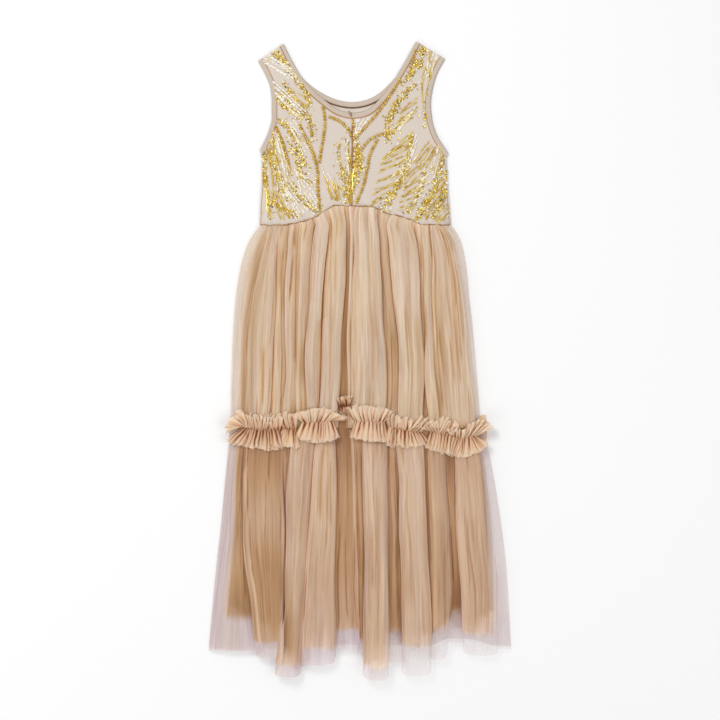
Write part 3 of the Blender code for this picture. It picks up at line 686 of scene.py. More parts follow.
def fine_lines(across, share, sewn, seed):
    """Thin dark lines where the cloth doubles over, partly its denser doubled net and partly painted shade:
    sharp on one side, soft on the other, short at the gathers.
    """
    rng = np.random.default_rng(seed)
    dark = np.zeros(share.shape)
    kinds = (GATHER_LINES, LONG_LINES, SEWN_LINES)
    for kind in kinds if sewn else kinds[:2]:
        count, strong, soft = kind
        for _ in range(count):
            at = rng.uniform(0, across[-1])
            if kind is GATHER_LINES:
                start, end = 0.0, rng.uniform(0.05, 0.25)
            else:
                start = rng.uniform(0, 0.7)
                end = min(start + rng.uniform(0.2, 0.7), 1.0)
            if kind is SEWN_LINES:
                start, end = rng.uniform(0.78, 0.95), 1.01
            wander = 2.5 * noise(share * 4, at, seed + 1)
            beyond = (across[None] - at - wander) * rng.choice((-1, 1))
            fade = smoothstep(share, start - 0.05, start + 0.06) * (1 - smoothstep(share, end - 0.08, end))
            shade = np.exp(-np.maximum(beyond, 0) / (soft * rng.uniform(0.5, 1.4)))
            shade = strong * rng.uniform(0.35, 1.2) * fade * shade * smoothstep(beyond, -0.9, 0.2)
            dark = np.maximum(dark, shade)
    return dark


def creased(x, creases, down):
    """The height that the ridges and troughs add at each point."""
    added, d = np.zeros_like(x), down[:, None]
    for k, at in enumerate(on_parabolas(creases, down).T):
        start, end, height, width = (creases[key][k] for key in ("start", "end", "height", "width"))
        fade = smoothstep((d - start) / 0.08 + (start == 0)) * smoothstep((end - d) / 0.12 + (end == 1))
        added += height * fade * np.exp(-(((x - at[:, None]) / width) ** 2))
    return added


def gathers(across, depth, total, sewn, seed):
    """Fine waves that are deep where the cloth is gathered, wander, and fade away from there."""
    top, low = np.exp(-depth / 30), sewn * np.exp(-(total - depth) / 26)
    at = across + 2.2 * noise(across / 37, depth / 55, seed + 7) * smoothstep(depth, 0, 40)
    patch = 0.6 + 0.5 * noise(across / 19, depth / 70, seed + 8)
    waves = noise(at / 2.9, depth / 60, seed) * (0.12 * patch + 0.45 * top + 0.4 * low)
    waves += noise(at / 6.3, depth / 80, seed + 1) * (0.55 * patch + 1.7 * top + 1.2 * low)
    return waves + noise(at / 14.0, depth / 130, seed + 2) * (1.5 + 1.1 * top + 0.5 * low)


def rows_between(count):
    """Shares from 0 to 1 that lie closer together at the ends."""
    t = np.linspace(0, 1, count)
    return t - np.where(t < 0.5, 0.6, 0.4) * np.sin(2 * np.pi * t) / (2 * np.pi)


ALL_EDGES = {key: np.concatenate([UPPER_EDGES[key], LOWER_EDGES[key][1:]]) for key in UPPER_EDGES}


def side_edges(y, inset):
    """Where the sides of a layer lie at each y."""
    inward = np.interp(-y, -INNER_INSET["y"], INNER_INSET[inset]) if inset else 0.0
    left, right = (smooth_line(-ALL_EDGES["y"], ALL_EDGES[key], -y) for key in ("left", "right"))
    return left + inward, right - inward


def kept_below(points, tree, gap):
    """The points, lowered where they would come through the sheet above them."""
    kept = points.copy()
    for at in np.ndindex(points.shape[:2]):
        x, y, z = points[at]
        hit = tree.ray_cast(Vector((x, y, BELOW_ALL)), UP)[0]
        if hit is not None:
            kept[at][2] = min(z, hit.z - gap)
    return kept


def recess(z, spacing, within, depths):
    """How deep each place lies between the higher ones on its two sides, from 0 to 1."""
    reach = max(int(within / spacing), 1)
    padded = np.pad(z, ((0, 0), (reach, reach)), mode="edge")
    shifted = [padded[:, k : k + z.shape[1]] for k in range(2 * reach + 1)]
    left, right = np.max(shifted[: reach + 1], axis=0), np.max(shifted[reach:], axis=0)
    return smoothstep(np.minimum(left, right) - z, *depths)


def net_looks(s, seed, base=0.62, bands=EVEN_BANDS, thins=EVEN_BANDS, bareness=(0.2, 0.2)):
    """How much painted shade the tulle of a stretch gets at each place, partly its denser layers; how much it
    pales where it lies one layer thick and where highlights are painted; and how close it is.

    base is its cover, and bareness what that loses where it thins out, on the left and on the right.
    """
    over_hem = (s.total - s.depth) / np.maximum(20.0 if s.inner else s.bare, 8.0)
    near_hem = 0 if s.sewn else 1 - smoothstep(over_hem, 0.75, 1.1)
    wide = 1 if s.sewn or s.inner else (0.5 + 0.5 * smoothstep(s.down, 0, 0.6))[:, None]
    from_left, from_right = (s.x - s.left) / wide, (s.right - s.x) / wide
    single, thin = (
        np.maximum(1 - smoothstep(from_left, *at_left), 1 - smoothstep(from_right, *at_right))
        for at_left, at_right in (bands, thins)
    )
    single = np.clip(np.maximum(single, near_hem * (0.5 if s.inner else 1.0)), 0, 1)
    thin = np.clip(np.maximum(thin, near_hem), 0, 1)
    steep = steepness(s.points)
    # Painted shade on steep fold sides, partly the denser net seen where it turns under
    patches = smoothstep(steep, 1.8, 4.5) * (0.2 + 0.25 * noise(s.across[None] / 15, s.depth / 45, seed + 9))
    # Painted shade near the join of the tiers, under and beside the ruffle
    reach = (8 if s.sewn else 24) + 16 * s.low_lying
    shade_at_join = np.exp(-s.from_join / reach) * (0.6 + 0.4 * s.low_lying) * (not s.inner)
    # Dark lines where the cloth doubles over: partly the denser doubled net, partly painted shade
    thin_lines = fine_lines(s.across, s.depth / s.total, s.sewn, seed + 14)
    thin_lines = thin_lines * (0.5 + 0.5 * s.inside) * (1 - 0.35 * s.ridge)
    # Painted shade in the recesses between folds, partly the denser layers there
    recess_shade = 0.45 * np.maximum(s.low_lying, 0.8 * recess(s.z, s.spacing, *NARROW_RECESS))
    # The fold value gathers all of this painted shade
    fold = np.max([recess_shade, patches, shade_at_join, s.dark, thin_lines + 0.5 * s.dark], axis=0)
    fold = np.clip(fold, 0, 1) * s.inside * (s.rise > 0.3) * (0.6 if s.inner else 1.0)
    # Painted highlights along the folds' edges and on the ridges
    on_edges, on_ridges = (0.65, 0.16) if s.sewn else (0.5, 0.06)
    lit = (on_edges * s.bright + on_ridges * s.ridge * (1 - fold)) * s.inside * (s.rise > 0.9)
    less = bareness[0] + (bareness[1] - bareness[0]) * smoothstep(s.x, -100, 100)
    cover = 1 - (1 - (base - less * thin)) ** np.minimum(steep, 3.5) ** 0.7
    at_top, at_low = np.exp(-s.depth / 14), s.sewn * np.exp(-(s.total - s.depth) / 14)
    cover = cover + 0.12 * fold + 0.14 * at_top + 0.1 * at_low + 0.06 * near_hem
    return {"fold": fold, "single": np.clip(single + lit, 0, 1), "cover": cover}


def tier(folds, edges, top_y, low_y, rows, seed, creases=None, level=TIER_FRONT_Z, rise=1.0, lap=1.0,
         waves=1.0, drop=1.0, lowest=-9.0, lift=0.0, inset=None, ceiling=None, spacing=1.15, sewn=0.0,
         deeper=0.0, **looks):
    """One gathered stretch of tulle: its points, lengthways map and shading.

    rise, lap, waves and drop are shares of the folds' height, of their laps, of the gathers and of the fall
    at the side edges. sewn is 1 where its low end is sewn. lift raises it over the ruffle's back, and deeper
    adds painted shade over its lower half.
    """
    down = rows_between(rows)

    def by_row(start, end):
        return smoothstep(down, start, end)[:, None]

    x, z, hem, bare, across, lines, over = folded(folds, edges, down, spacing, lap)
    bare = bare + 4.0 * noise(across / 11, 0.5, seed + 3)
    if inset:
        hem = hem + bare + 7.0 * np.round(1.3 * noise(across / 19, 0.5, 77))
    top = top_y(x[0])
    low = hem if low_y is None else low_y(x[-1])
    y = top + (low - top) * down[:, None]
    depth, total = top - y, (top - low)[None]
    eased = SEWN_EASE if sewn else FREE_EASE
    # Painted shade of the folds and creases, and painted highlights along the folds' edges
    dark, bright = crease_shade(x, lines, over, folds, down, deeper, eased, seed + 12)
    left, right = side_edges(y, inset)
    if inset or low_y is not None:
        x = left + (x - x[:, :1]) / (x[:, -1:] - x[:, :1]) * (right - left)
    edge = np.minimum(x - left, right - x)
    inside, ridge = smoothstep(edge, 2, 16), smoothstep(z, 6, 13)
    low_lying = recess(z, spacing, *WIDE_RECESS)
    ease = by_row(-0.05, 0.2) * (1 - 0.45 * sewn * by_row(0.88, 1.0))
    z = np.where(z > 0, z * ease * rise * (1 - (0.0 if sewn else 0.35) * by_row(0.82, 1.0)), z * drop)
    if creases:
        z = z + inside * creased(x, creases, down) * ease
    z = z + waves * (0.25 + 0.75 * inside) * gathers(across[None], depth, total, sewn, seed)
    sway = by_row(0, 0.2) * (1 - sewn * by_row(0.85, 1))
    x = x + noise(across / 34, y / 90, seed + 5) * 1.6 * sway * smoothstep(edge, 0, 8)
    z = np.maximum(z, np.where(inside > 0.5, -0.3, lowest) if drop else lowest)
    z = z + lift * (1 - smoothstep(np.abs(y - JOIN_Y), 30, 55))
    points = np.dstack([x, y, level + z])
    if ceiling:
        points = kept_below(points, ceiling, 0.5)
    from_join = depth if low_y is None else total - depth
    stretch = SimpleNamespace(
        points=points, x=x, z=z, left=left, right=right, inside=inside, ridge=ridge, low_lying=low_lying,
        dark=dark, bright=bright, bare=bare, down=down, across=across, depth=depth, total=total,
        from_join=from_join, spacing=spacing, rise=rise, sewn=sewn, inner=inset,
    )
    maps = np.dstack([np.broadcast_to(across, x.shape), depth])
    return points, maps, net_looks(stretch, seed, **looks)


# About where the lining's sides lie at its top
LINING_TOP = (-140, 130)
LINING_COLUMNS = 90
LINING_ROWS = 109
# From the hem's stitches to its edge, as shares of the length
LINING_HEM = (0.985, 0.9875, 0.99, 0.9925, 1.0)


def satin_layer(face, top, hem, level, seed):
    """A plain layer of the lining: close cloth with a few soft waves and a turned hem."""
    share = np.linspace(0, 1, LINING_COLUMNS)
    down = np.concatenate([np.linspace(0, LINING_HEM[0], LINING_ROWS, endpoint=False), LINING_HEM])
    left, right = side_edges(top(np.linspace(*LINING_TOP, LINING_COLUMNS)), "lining")
    x = (left + (right - left) * share)[None]
    start = top(x[0])
    for _ in range(4):
        end = hem(x[-1])
        y = start + (end - start) * down[:, None]
        left, right = side_edges(y, "lining")
        x = left + (right - left) * share
    edge, stitched = np.minimum(x - left, right - x), ((down > 0.984) & (down < 0.991))[:, None]
    z = level + 0.35 * noise(x / 26, y / 150, seed) + 0.2 * noise(x / 9, y / 70, seed + 1) + 0.35 * stitched
    if face == "front":
        z = z - 2.0 * (1 - smoothstep(edge, 0, 5))
    # Painted shade where the sides turn down and along the stitched hem
    fold = 0.35 * (1 - smoothstep(edge, 0, 3)) + 0.9 * stitched
    part = np.dstack([x, y, z]), np.dstack([x - x[:, :1], start - y]), {"fold": fold}
    sheet_piece(f"lining_satin_{face}", [part], SATIN, f"lining_{face}")


# ---------------------------------------------------------------- bodice

PANEL_ROWS = 56
PANEL_COLUMNS = 96
UNDER_BINDING = 1.2
GROOVE = 1.1
GROOVE_WIDTH = 2.4
GROOVE_TOP_Y = 392.0
# How far above the empire seam, and how far in from its side, the front rises onto the gathers
RISE_LENGTH = 75.0
RISE_IN = 13.0
BACK_CENTRE_X = -14.0
BACK_NECK_Y = 405.0
THREAD_SIDES = 6
# Height of the dark back neck line: its seam thread and painted shade in the gap
BACK_SEAM_SHADE_Z = 1.4
SIDE_THREAD_IN = 2.2
# Two crossed stitches at the front neck
NECK_STITCHES = (
    ((-17.5, 399, 3.6), (-16.8, 395, 4.4), (-15.2, 391, 3.4)),
    ((-14.0, 396, 3.4), (-13.2, 392, 4.2), (-14.0, 389, 3.3)),
)


def facing_up(points, *others):
    """The grids, with their columns turned round where the faces of the first would look down."""
    across, down = np.diff(points, axis=1)[:-1], np.diff(points, axis=0)[:, :-1]
    step = 1 if np.cross(across, down)[..., 2].sum() < 0 else -1
    return [grid[:, ::step] for grid in (points, *others)]


def halves(left, right, count):
    """A rounded line across the dress, as two halves, each evenly spread from its shoulder to the centre."""
    points = np.concatenate([xy(left), xy(right)[-2::-1]])
    length = lengths(points)
    slope = np.gradient(points, length, axis=0)
    found = []
    for shoulder in (0, length[-1]):
        at = np.linspace(shoulder, length[len(left["x"]) - 1], count)
        found.append(np.stack([hermite(length, points[:, k], slope[:, k], at) for k in (0, 1)], axis=1))
    return found


def bodice_lines():
    """The bodice's edges from the shoulder, each with what its binding's seam line needs."""
    count = PANEL_ROWS + 1
    necks = {face: halves(NECKS[face, "left"], NECKS[face, "right"], count) for face in ("front", "back")}
    lines = {}
    for index, (hand, side) in enumerate(HANDS.items()):
        armhole = along(ARMHOLES[hand], count)
        shoulder = unit(necks["front"][index][0] - armhole[0])
        lines["armhole", hand] = (armhole, -side, ARMHOLE_BINDING, shoulder, None)
        for face, both in necks.items():
            lines[face, hand] = (both[index], side, np.linspace(*NECK_BINDING, count), -shoulder, (0, -1))
    return lines


def seam_line(line, extra=0.0):
    edge, side, width, first, last = line
    return moved_in(edge, width + extra, side, first, last)


def armhole_seam(lines, hand, extra=0.0):
    """The armhole binding's seam line, which runs out to the side seam at its low end."""
    return np.concatenate([seam_line(lines["armhole", hand], extra), [ARMHOLE_ENDS[hand]]])


def shoulder_to_shoulder(left, right):
    return np.concatenate([left, right[-2::-1]])


def neck_seam(lines, face, extra=0.0):
    return shoulder_to_shoulder(*(seam_line(lines[face, hand], extra) for hand in HANDS))


def centre_x(y):
    return np.interp(y, CENTRE_FRONT["y"], CENTRE_FRONT["x"])


def panel(lines, face, hand, seam_y, centre):
    """A panel's grid of x and y: from the lower seam up to the armhole's low end, and on to the shoulder."""
    count = PANEL_ROWS + 1
    armhole = through(armhole_seam(lines, hand, -UNDER_BINDING), count)[::-1].copy()
    neck = seam_line(lines[face, hand], -UNDER_BINDING)[::-1].copy()
    centre[-1] = neck[0] = (centre[-1][0], neck[0][1])
    centre[:, 1] = np.linspace(seam_y(centre[0][0]), centre[-1][1], count)
    side = along(SIDES[hand], count)
    side[-1] = armhole[0]
    u = np.linspace(0, 1, PANEL_COLUMNS + 1)[:, None]
    seam_x = side[0][0] + (centre[0][0] - side[0][0]) * u[:, 0]
    seam = np.stack([seam_x, seam_y(seam_x)], axis=1)
    chord = side[-1] + (centre[-1] - side[-1]) * u
    rows = []
    for v, at_side, at_centre in zip(np.linspace(0, 1, count), side, centre):
        ruled = seam * (1 - v) + chord * v
        rows.append(ruled + (at_side - ruled[0]) * (1 - u) + (at_centre - ruled[-1]) * u)
    rows += [a + (b - a) * u for a, b in zip(armhole[1:], neck[1:])]
    return np.array(rows)[::-1]


def bodice_front(lines, hand, seed):
    """One front panel: soft, with puckers along the empire seam and a groove along the centre front."""
    centre = along(CENTRE_FRONT, PANEL_ROWS + 1) + (HANDS[hand] * 0.1, 0)
    flat = panel(lines, "front", hand, empire_line(0.2), centre)
    x, y = flat[..., 0], flat[..., 1]
    above, inward = y - empire_y(x), np.abs(x - x[:, :1])
    rise = (1 - smoothstep(above / RISE_LENGTH)) * smoothstep(inward / RISE_IN)
    soft = 0.55 * noise(x / 24, y / 46, seed + 1) + 0.3 * noise((x + y) / 17, (y - x) / 60, seed + 2)
    puckers = 0.7 * noise(x / 4.2, above / 40, seed) * np.exp(-above / 11)
    z = BODICE_FRONT_Z + (TIER_FRONT_Z + 0.6 - BODICE_FRONT_Z) * rise
    z = z + (puckers + soft * smoothstep(above, 0, 25)) * smoothstep(inward, 0, 12)
    beside, low = x - centre_x(y), y < GROOVE_TOP_Y
    z = z - GROOVE * np.exp(-((beside / GROOVE_WIDTH) ** 2)) * low
    # Painted shade in the centre-front groove and just above the empire seam
    fold = 0.75 * np.exp(-(beside**2)) * low + 0.35 * np.exp(-above / 2.5)
    points, fold = facing_up(np.dstack([x, y, z]), fold)
    return points, points[..., :2], {"fold": fold}


def bodice_back(lines, hand):
    """One half of the back panel, plain and flat. The two meet at the middle."""
    rows = PANEL_ROWS + 1
    centre = np.stack([np.full(rows, BACK_CENTRE_X), np.linspace(BACK_SEAM_Y, BACK_NECK_Y, rows)], axis=1)
    flat = panel(lines, "back", hand, level_line(BACK_SEAM_Y), centre)
    z = BACK_BODICE_Z + 0.1 * noise(flat[..., 0] / 30, flat[..., 1] / 40, 7)
    points = facing_up(np.dstack([flat, z]))[0]
    return points, points[..., :2], {"fold": np.zeros_like(z)}


# Across a binding, from its free edge to the line that it is sewn along
BINDING_SECTION = table(
    "across high",
    (0, 0), (0.03, 0.4), (0.09, 0.7), (0.2, 0.92), (0.4, 1),
    (0.65, 0.98), (0.84, 0.88), (0.94, 0.7), (1, 0.48),
)


def binding(edge, inner, underside, high, seed):
    """A rounded strip that folds over an edge, with faint ripples along it."""
    u, length = BINDING_SECTION["across"], lengths(edge)[:, None]
    flat = edge[:, None] + (inner - edge)[:, None] * u[None, :, None]
    z = underside + high * BINDING_SECTION["high"] * (1 + 0.10 * noise(length / 5.0, 0.5, seed))
    maps = np.dstack([np.broadcast_to(length, z.shape), np.broadcast_to(u * 9, z.shape)])
    # Painted shade on the rolled free edge and along the sewn side
    fold = np.broadcast_to(0.35 * smoothstep(u, 0.86, 1.0) + 0.55 * (1 - smoothstep(u, 0.02, 0.12)), z.shape)
    points, maps, fold = facing_up(np.dstack([flat, z]), maps, fold)
    return points, maps, {"fold": fold}


def threads(name, lines, radius, material, slot):
    """Round threads along lines of points, as one piece."""
    points, faces, start = [], [], 0
    turn = np.arange(THREAD_SIDES) * 2 * np.pi / THREAD_SIDES
    cos, sin = np.cos(turn)[:, None], np.sin(turn)[:, None]
    for line in lines:
        way = unit(np.gradient(line, axis=0))
        side = unit(np.cross(way, (0, 0, 1)))
        up = np.cross(side, way)
        points.append((line[:, None] + radius * (cos * side[:, None] + sin * up[:, None])).reshape(-1, 3))
        index = start + np.arange(len(line) * THREAD_SIDES).reshape(-1, THREAD_SIDES)
        beside = np.roll(index, -1, axis=1)
        faces.append(np.stack([index[:-1], beside[:-1], beside[1:], index[1:]], axis=-1).reshape(-1, 4))
        start += len(points[-1])
    piece(name, np.concatenate(points), np.concatenate(faces), material)


def surface_z(tree, x, y, otherwise):
    """How high the cloth stands at each place."""
    z = np.full(x.shape, float(otherwise))
    for at in np.ndindex(x.shape):
        hit = tree.ray_cast(Vector((x[at], y[at], ABOVE_ALL)), DOWN)[0]
        if hit is not None:
            z[at] = hit.z
    return z


def on_cloth(line, tree, above, otherwise):
    """A line of x and y, laid on the cloth."""
    return np.column_stack([line, surface_z(tree, line[:, 0], line[:, 1], otherwise) + above])


# ---------------------------------------------------------------- ruffle

# The ruffle's box pleats, from left to right: both ends of each one's gathered line, upper edge and lower
# edge, how far the upper and the lower edge bulge, how many small pleats it has, and how much painted shade
# it gets
RUFFLE_CLUMPS = (
    (-187, -106, -174, -112, -216, -116, -189, -81, -213, -127, -186, -136, 6.4, 4.0, 3, 0.1),
    (-184, -109, -159, -112, -191, -88, -163, -90, -193, -133, -163, -140, 2.4, 3.2, 7, 0.12),
    (-162, -112, -137, -112, -163, -91, -131, -90, -166, -139, -130, -143, 2.4, 1.6, 7, 0.12),
    (-146, -109, -128, -113, -152, -96, -124, -94, -142, -134, -121, -139, 1.6, 3.2, 4, 0.24),
    (-125, -109, -101, -112, -133, -90, -104, -91, -134, -128, -96, -138, 5.6, 4.8, 4, 0.2),
    (-94, -100, -42, -98, -110, -87, -21, -94, -105, -122, -34, -123, 14.4, 8.0, 11, -0.12),
    (-35, -74, -14, -72, -37, -61, -15, -58, -33, -84, -14, -82, 2.4, 1.6, 6, 0.4),
    (-9, -98, 41, -99, -22, -78, 52, -82, -15, -123, 46, -130, 8.0, 1.6, 11, -0.12),
    (42, -106, 64, -111, 40, -88, 66, -91, 38, -130, 60, -137, 3.2, 3.2, 5, 0.0),
    (60, -110, 82, -114, 63, -94, 86, -97, 57, -134, 84, -139, 2.4, 2.4, 5, -0.02),
    (76, -113, 98, -115, 94, -90, 115, -100, 80, -138, 112, -129, 2.4, 4.0, 6, -0.04),
    (110, -114, 128, -119, 96, -108, 122, -95, 104, -138, 124, -145, 2.4, 2.4, 4, 0.0),
    (122, -118, 146, -120, 130, -93, 160, -108, 120, -144, 142, -148, 4.0, 2.4, 6, -0.04),
    (143, -121, 166, -126, 140, -112, 168, -113, 138, -147, 156, -153, 1.6, 3.2, 6, -0.06),
    (160, -125, 178, -122, 164, -111, 192, -98, 153, -152, 182, -148, 2.4, 4.0, 5, -0.14),
    (174, -122, 185, -121, 188, -96, 207, -108, 180, -148, 205, -131, 5.6, 4.8, 5, -0.2),
)
WING_ROWS = 13
PLEAT_COLUMNS = 10
# How the lower and the upper one of two wings that lie on each other stand, deepen and reach out
UNDER_UPPER, OVER_UPPER = (2.2, 3.0, 0.5), (5.6, 4.4, -1.5)
UNDER_LOWER, OVER_LOWER = (2.0, 2.4, 1.6), (4.6, 3.6, 0.0)


def wing(gather, edge, bulge, pleats, tree, seed, stand, deep, out, jag, crumple, tone):
    """One side of a clump of pleats, from its gathered line out to its frilled edge.

    stand is how high it stands, deep how deep its pleats are, out how far it reaches past its edge, jag how
    uneven that is, crumple how far the cloth wanders, and the last argument how much painted shade the clump
    gets.
    """
    rng = np.random.default_rng(seed)
    outward = unit(edge.mean(axis=0) - gather.mean(axis=0))
    sideways = np.array([outward[1], -outward[0]])
    sizes = rng.uniform(0.45, 1.7, pleats)
    starts = np.concatenate([[0], np.cumsum(sizes)]) / sizes.sum()
    step = np.arange(PLEAT_COLUMNS) / PLEAT_COLUMNS
    s = np.append(starts[:-1, None] + np.diff(starts)[:, None] * step, 1.0)
    index = np.append(np.repeat(np.arange(pleats), PLEAT_COLUMNS), pleats - 1)
    share = np.append(np.tile(step, pleats), 1.0)

    def drawn(low, high):
        return rng.uniform(low, high, pleats)[index]

    hand = np.where(drawn(0, 1) < 0.3, -1, 1)
    share = np.where(hand > 0, share, 1 - share)
    height, length = drawn(0.55, 1.2), drawn(-jag, jag)
    lean, stood = drawn(-0.55, 0.55) * jag, drawn(0.65, 1.2)
    v = np.linspace(0, 1, WING_ROWS)[:, None]
    start, end = (line[0] + (line[1] - line[0]) * s[:, None] for line in (gather, edge))
    tooth = 0.4 * np.sin(np.pi * share) + 0.6 * (1 - np.abs(2 * share - 1))
    frill = bulge * 4 * s * (1 - s) + out + length * tooth + noise(s * pleats * 3.1, 0.2, seed + 2)
    end = end + outward * frill[:, None]
    flat = start + (end - start) * v[..., None]
    wave = np.interp(share, (0, 0.15, 0.5, 0.85, 1), (0, 0.35, 0.85, 1, 0))
    lap = np.interp(share, (0, 0.5, 0.85, 0.95, 1), (0, 0.2, 1, 0.5, -0.4)) * hand
    swing = (0.6 + 1.3 * v) * height * lap + 1.2 * v * noise(s * 4, v * 2, seed + 4) + lean * v**1.3
    swing = swing + 0.8 * crumple * v * noise(s * pleats * 1.7, v * 3.1, seed + 9)
    shift = 0.7 * crumple * v * noise(s * pleats * 1.9, v * 2.2, seed + 10)
    flat = flat + sideways * swing[..., None] + outward * shift[..., None]
    base = surface_z(tree, start[:, 0], start[:, 1], TIER_EDGE_Z) + 0.9
    base = np.convolve(np.pad(base, 4, mode="edge"), np.ones(9) / 9, mode="valid")
    depth = deep * height * (0.25 + 0.85 * v**0.7) * wave
    z = base + stand * np.sin(v * 2.1) * stood * (0.8 + 0.3 * noise(s * 5, 0.5, seed + 5)) + depth
    z = z + crumple * v * noise(s * pleats * 2.1, v * 2.5, seed + 6)
    z = np.maximum(z, surface_z(tree, flat[..., 0], flat[..., 1], TIER_EDGE_Z) + 0.8 + depth)
    reach = np.linalg.norm(end - start, axis=1)
    maps = np.dstack([np.broadcast_to((index + share) * 16, z.shape), reach * v])
    low = np.broadcast_to(1 - wave, z.shape)
    valley = smoothstep(low, 0.12, 0.8)
    # Painted shade in the pleats' valleys and along the gathered line, and over the whole clump by its shade
    # tone
    fold = 0.95 * (1 - v) ** 2.2 * (0.35 + 0.65 * valley) + 0.8 * drawn(0.5, 1.3) * valley * (1 - 0.4 * v)
    fold = np.clip(fold + (tone + drawn(0.0, 0.3)) * (1 - 0.6 * v), 0, 1)
    # Paler at the frilled edge, where the net lies one layer thick, with painted highlights on the pleats'
    # crests
    single = np.clip(0.2 + 0.75 * smoothstep(v, 0.7, 1.0) + 0.4 * wave, 0, 1) * (1 - fold)
    cover = 0.86 - 0.16 * smoothstep(v, 0.6, 1.0) + 0.1 * low
    points, maps, *values = facing_up(np.dstack([flat, z]), maps, fold, single, cover)
    return points, maps, dict(zip(("fold", "single", "cover"), values))


def ruffle_front(tree):
    """Every clump's two wings, each with another one under it."""
    parts = []
    for index, (*ends, up, down, pleats, tone) in enumerate(RUFFLE_CLUMPS):
        gather, upper, lower = np.reshape(ends, (3, 2, 2))
        seed = 200 + index * 17
        large = pleats > 9
        more, few = pleats + (1 if large else 2), max(pleats * 3 // 4, 3) + 1
        loose = (2.4, 1.4) if large else (4.2, 2.2)
        parts.append(wing(gather, upper, up, more, tree, seed + 400, *UNDER_UPPER, *loose, tone))
        parts.append(wing(gather, lower, down, few, tree, seed + 500, *UNDER_LOWER, 2.4, 0.9, tone))
        parts.append(wing(gather, lower, down, few, tree, seed + 7, *OVER_LOWER, 2.8, 1.4, tone))
        parts.append(wing(gather, upper, up, more - 1, tree, seed, *OVER_UPPER, *loose, tone))
    return parts


def ruffle_back():
    """The strip's back stretch, pressed flat under the dress."""
    columns, rows = 421, 9
    v = np.linspace(-1, 1, rows)[:, None]
    ends = 2.5 * noise(v * 3.1, 0.4, 303)
    x = np.linspace(0, 1, columns) * (412 - 2 * ends) - 209 + ends
    wave = np.cos(2 * np.pi * (x / 5.4 + 0.3 * noise(x / 9, 0.4, 301)))
    y = JOIN_Y - v * (20 + 1.5 * noise(x / 3.5, 0.5 + (v > 0), 302))
    z = np.broadcast_to(0.2 + 0.35 * (1 + wave) * (0.4 + 0.6 * np.abs(v)), y.shape)
    points = np.dstack([x, y, z])
    maps = np.dstack([points[..., 0] * 2, -y])
    # Painted shade along the gathered middle
    fold = np.broadcast_to(0.7 * (1 - np.abs(v)) ** 3, y.shape)
    return points, maps, {"fold": fold, "single": 0 * y, "cover": 0.9 + 0 * y}


# ---------------------------------------------------------------- sequins, beads and bugles

# Bands of sequins: how wide each is at its start, middle and end, and the points that it runs through
BANDS = (
    (12, 15, 8, (-139, 493), (-124, 478), (-109, 460), (-95, 444), (-85, 425), (-81, 406)),
    (7, 12, 9, (-123, 447), (-110, 427), (-97, 409), (-85, 391), (-77, 372), (-77, 348)),
    (15, 18, 15, (-134, 425), (-121, 411), (-106, 397), (-91, 387)),
    (9, 14, 8, (-131, 384), (-116, 371), (-104, 356), (-98, 336), (-90, 316), (-78, 306)),
    (8, 13, 11, (-143, 363), (-139, 333), (-133, 303), (-124, 279), (-114, 255)),
    (6, 9, 8, (-154, 340), (-152, 310), (-150, 279), (-145, 251), (-143, 225)),
    (10, 16, 13, (-113, 283), (-101, 266), (-86, 251), (-69, 236)),
    (9, 14, 10, (-147, 258), (-130, 246), (-114, 238), (-97, 225)),
    (3, 8, 13, (-35, 347), (-34, 326), (-29, 303), (-25, 275), (-20, 251)),
    (12, 14, 9, (103, 502), (97, 481), (86, 464), (74, 448)),
    (8, 13, 11, (89, 441), (70, 425), (56, 404), (46, 382), (43, 353)),
    (6, 11, 7, (79, 389), (63, 378), (52, 364), (40, 347)),
    (7, 12, 6, (-7, 356), (-2, 330), (1, 311), (-6, 280)),
    (6, 13, 14, (82, 366), (79, 329), (69, 297), (58, 275), (40, 251)),
    (9, 13, 12, (59, 276), (48, 260), (40, 245), (32, 237)),
    (4, 12, 13, (134, 333), (128, 305), (120, 278), (106, 252), (89, 223)),
    (5, 12, 13, (137, 303), (135, 275), (128, 249), (112, 225)),
    (4, 10, 6, (104, 300), (98, 276), (88, 252), (76, 234)),
    (5, 8, 8, (-21, 352), (-19, 320), (-18, 290), (-17, 252)),
    (5, 8, 6, (-108, 462), (-98, 447), (-91, 434), (-85, 418)),
    (6, 8, 5, (-6, 336), (-7, 312), (-9, 290), (-10, 262)),
    (3, 6, 3, (106, 430), (108, 408), (105, 386), (102, 370)),
    (5, 9, 6, (-112, 345), (-104, 326), (-96, 305), (-92, 288)),
    (7, 10, 8, (-101, 306), (-92, 296), (-82, 286), (-76, 278)),
    (5, 7, 4, (96, 478), (88, 466), (76, 452), (66, 440)),
    (3, 4, 6, (-11, 386), (-10.5, 372), (-11, 350)),
)
# Lines of cup beads set side by side
CHAINS = (
    ((-97, 377), (-83, 348), (-73, 325), (-68, 302), (-67, 270), (-64, 238)),
    ((-59, 405), (-56, 385), (-58, 361), (-62, 336), (-65, 317)),
    ((-49, 389), (-32, 382), (-18, 368), (-13, 356)),
    ((64, 449), (46, 420), (21, 387), (-4, 359)),
    ((28, 352), (16, 329), (11, 302), (4, 275), (-6, 251)),
    ((90, 499), (86, 483), (81, 469)),
    ((45, 364), (27, 359), (13, 350), (2, 336)),
    ((-135, 373), (-124, 348), (-116, 321), (-111, 297)),
)
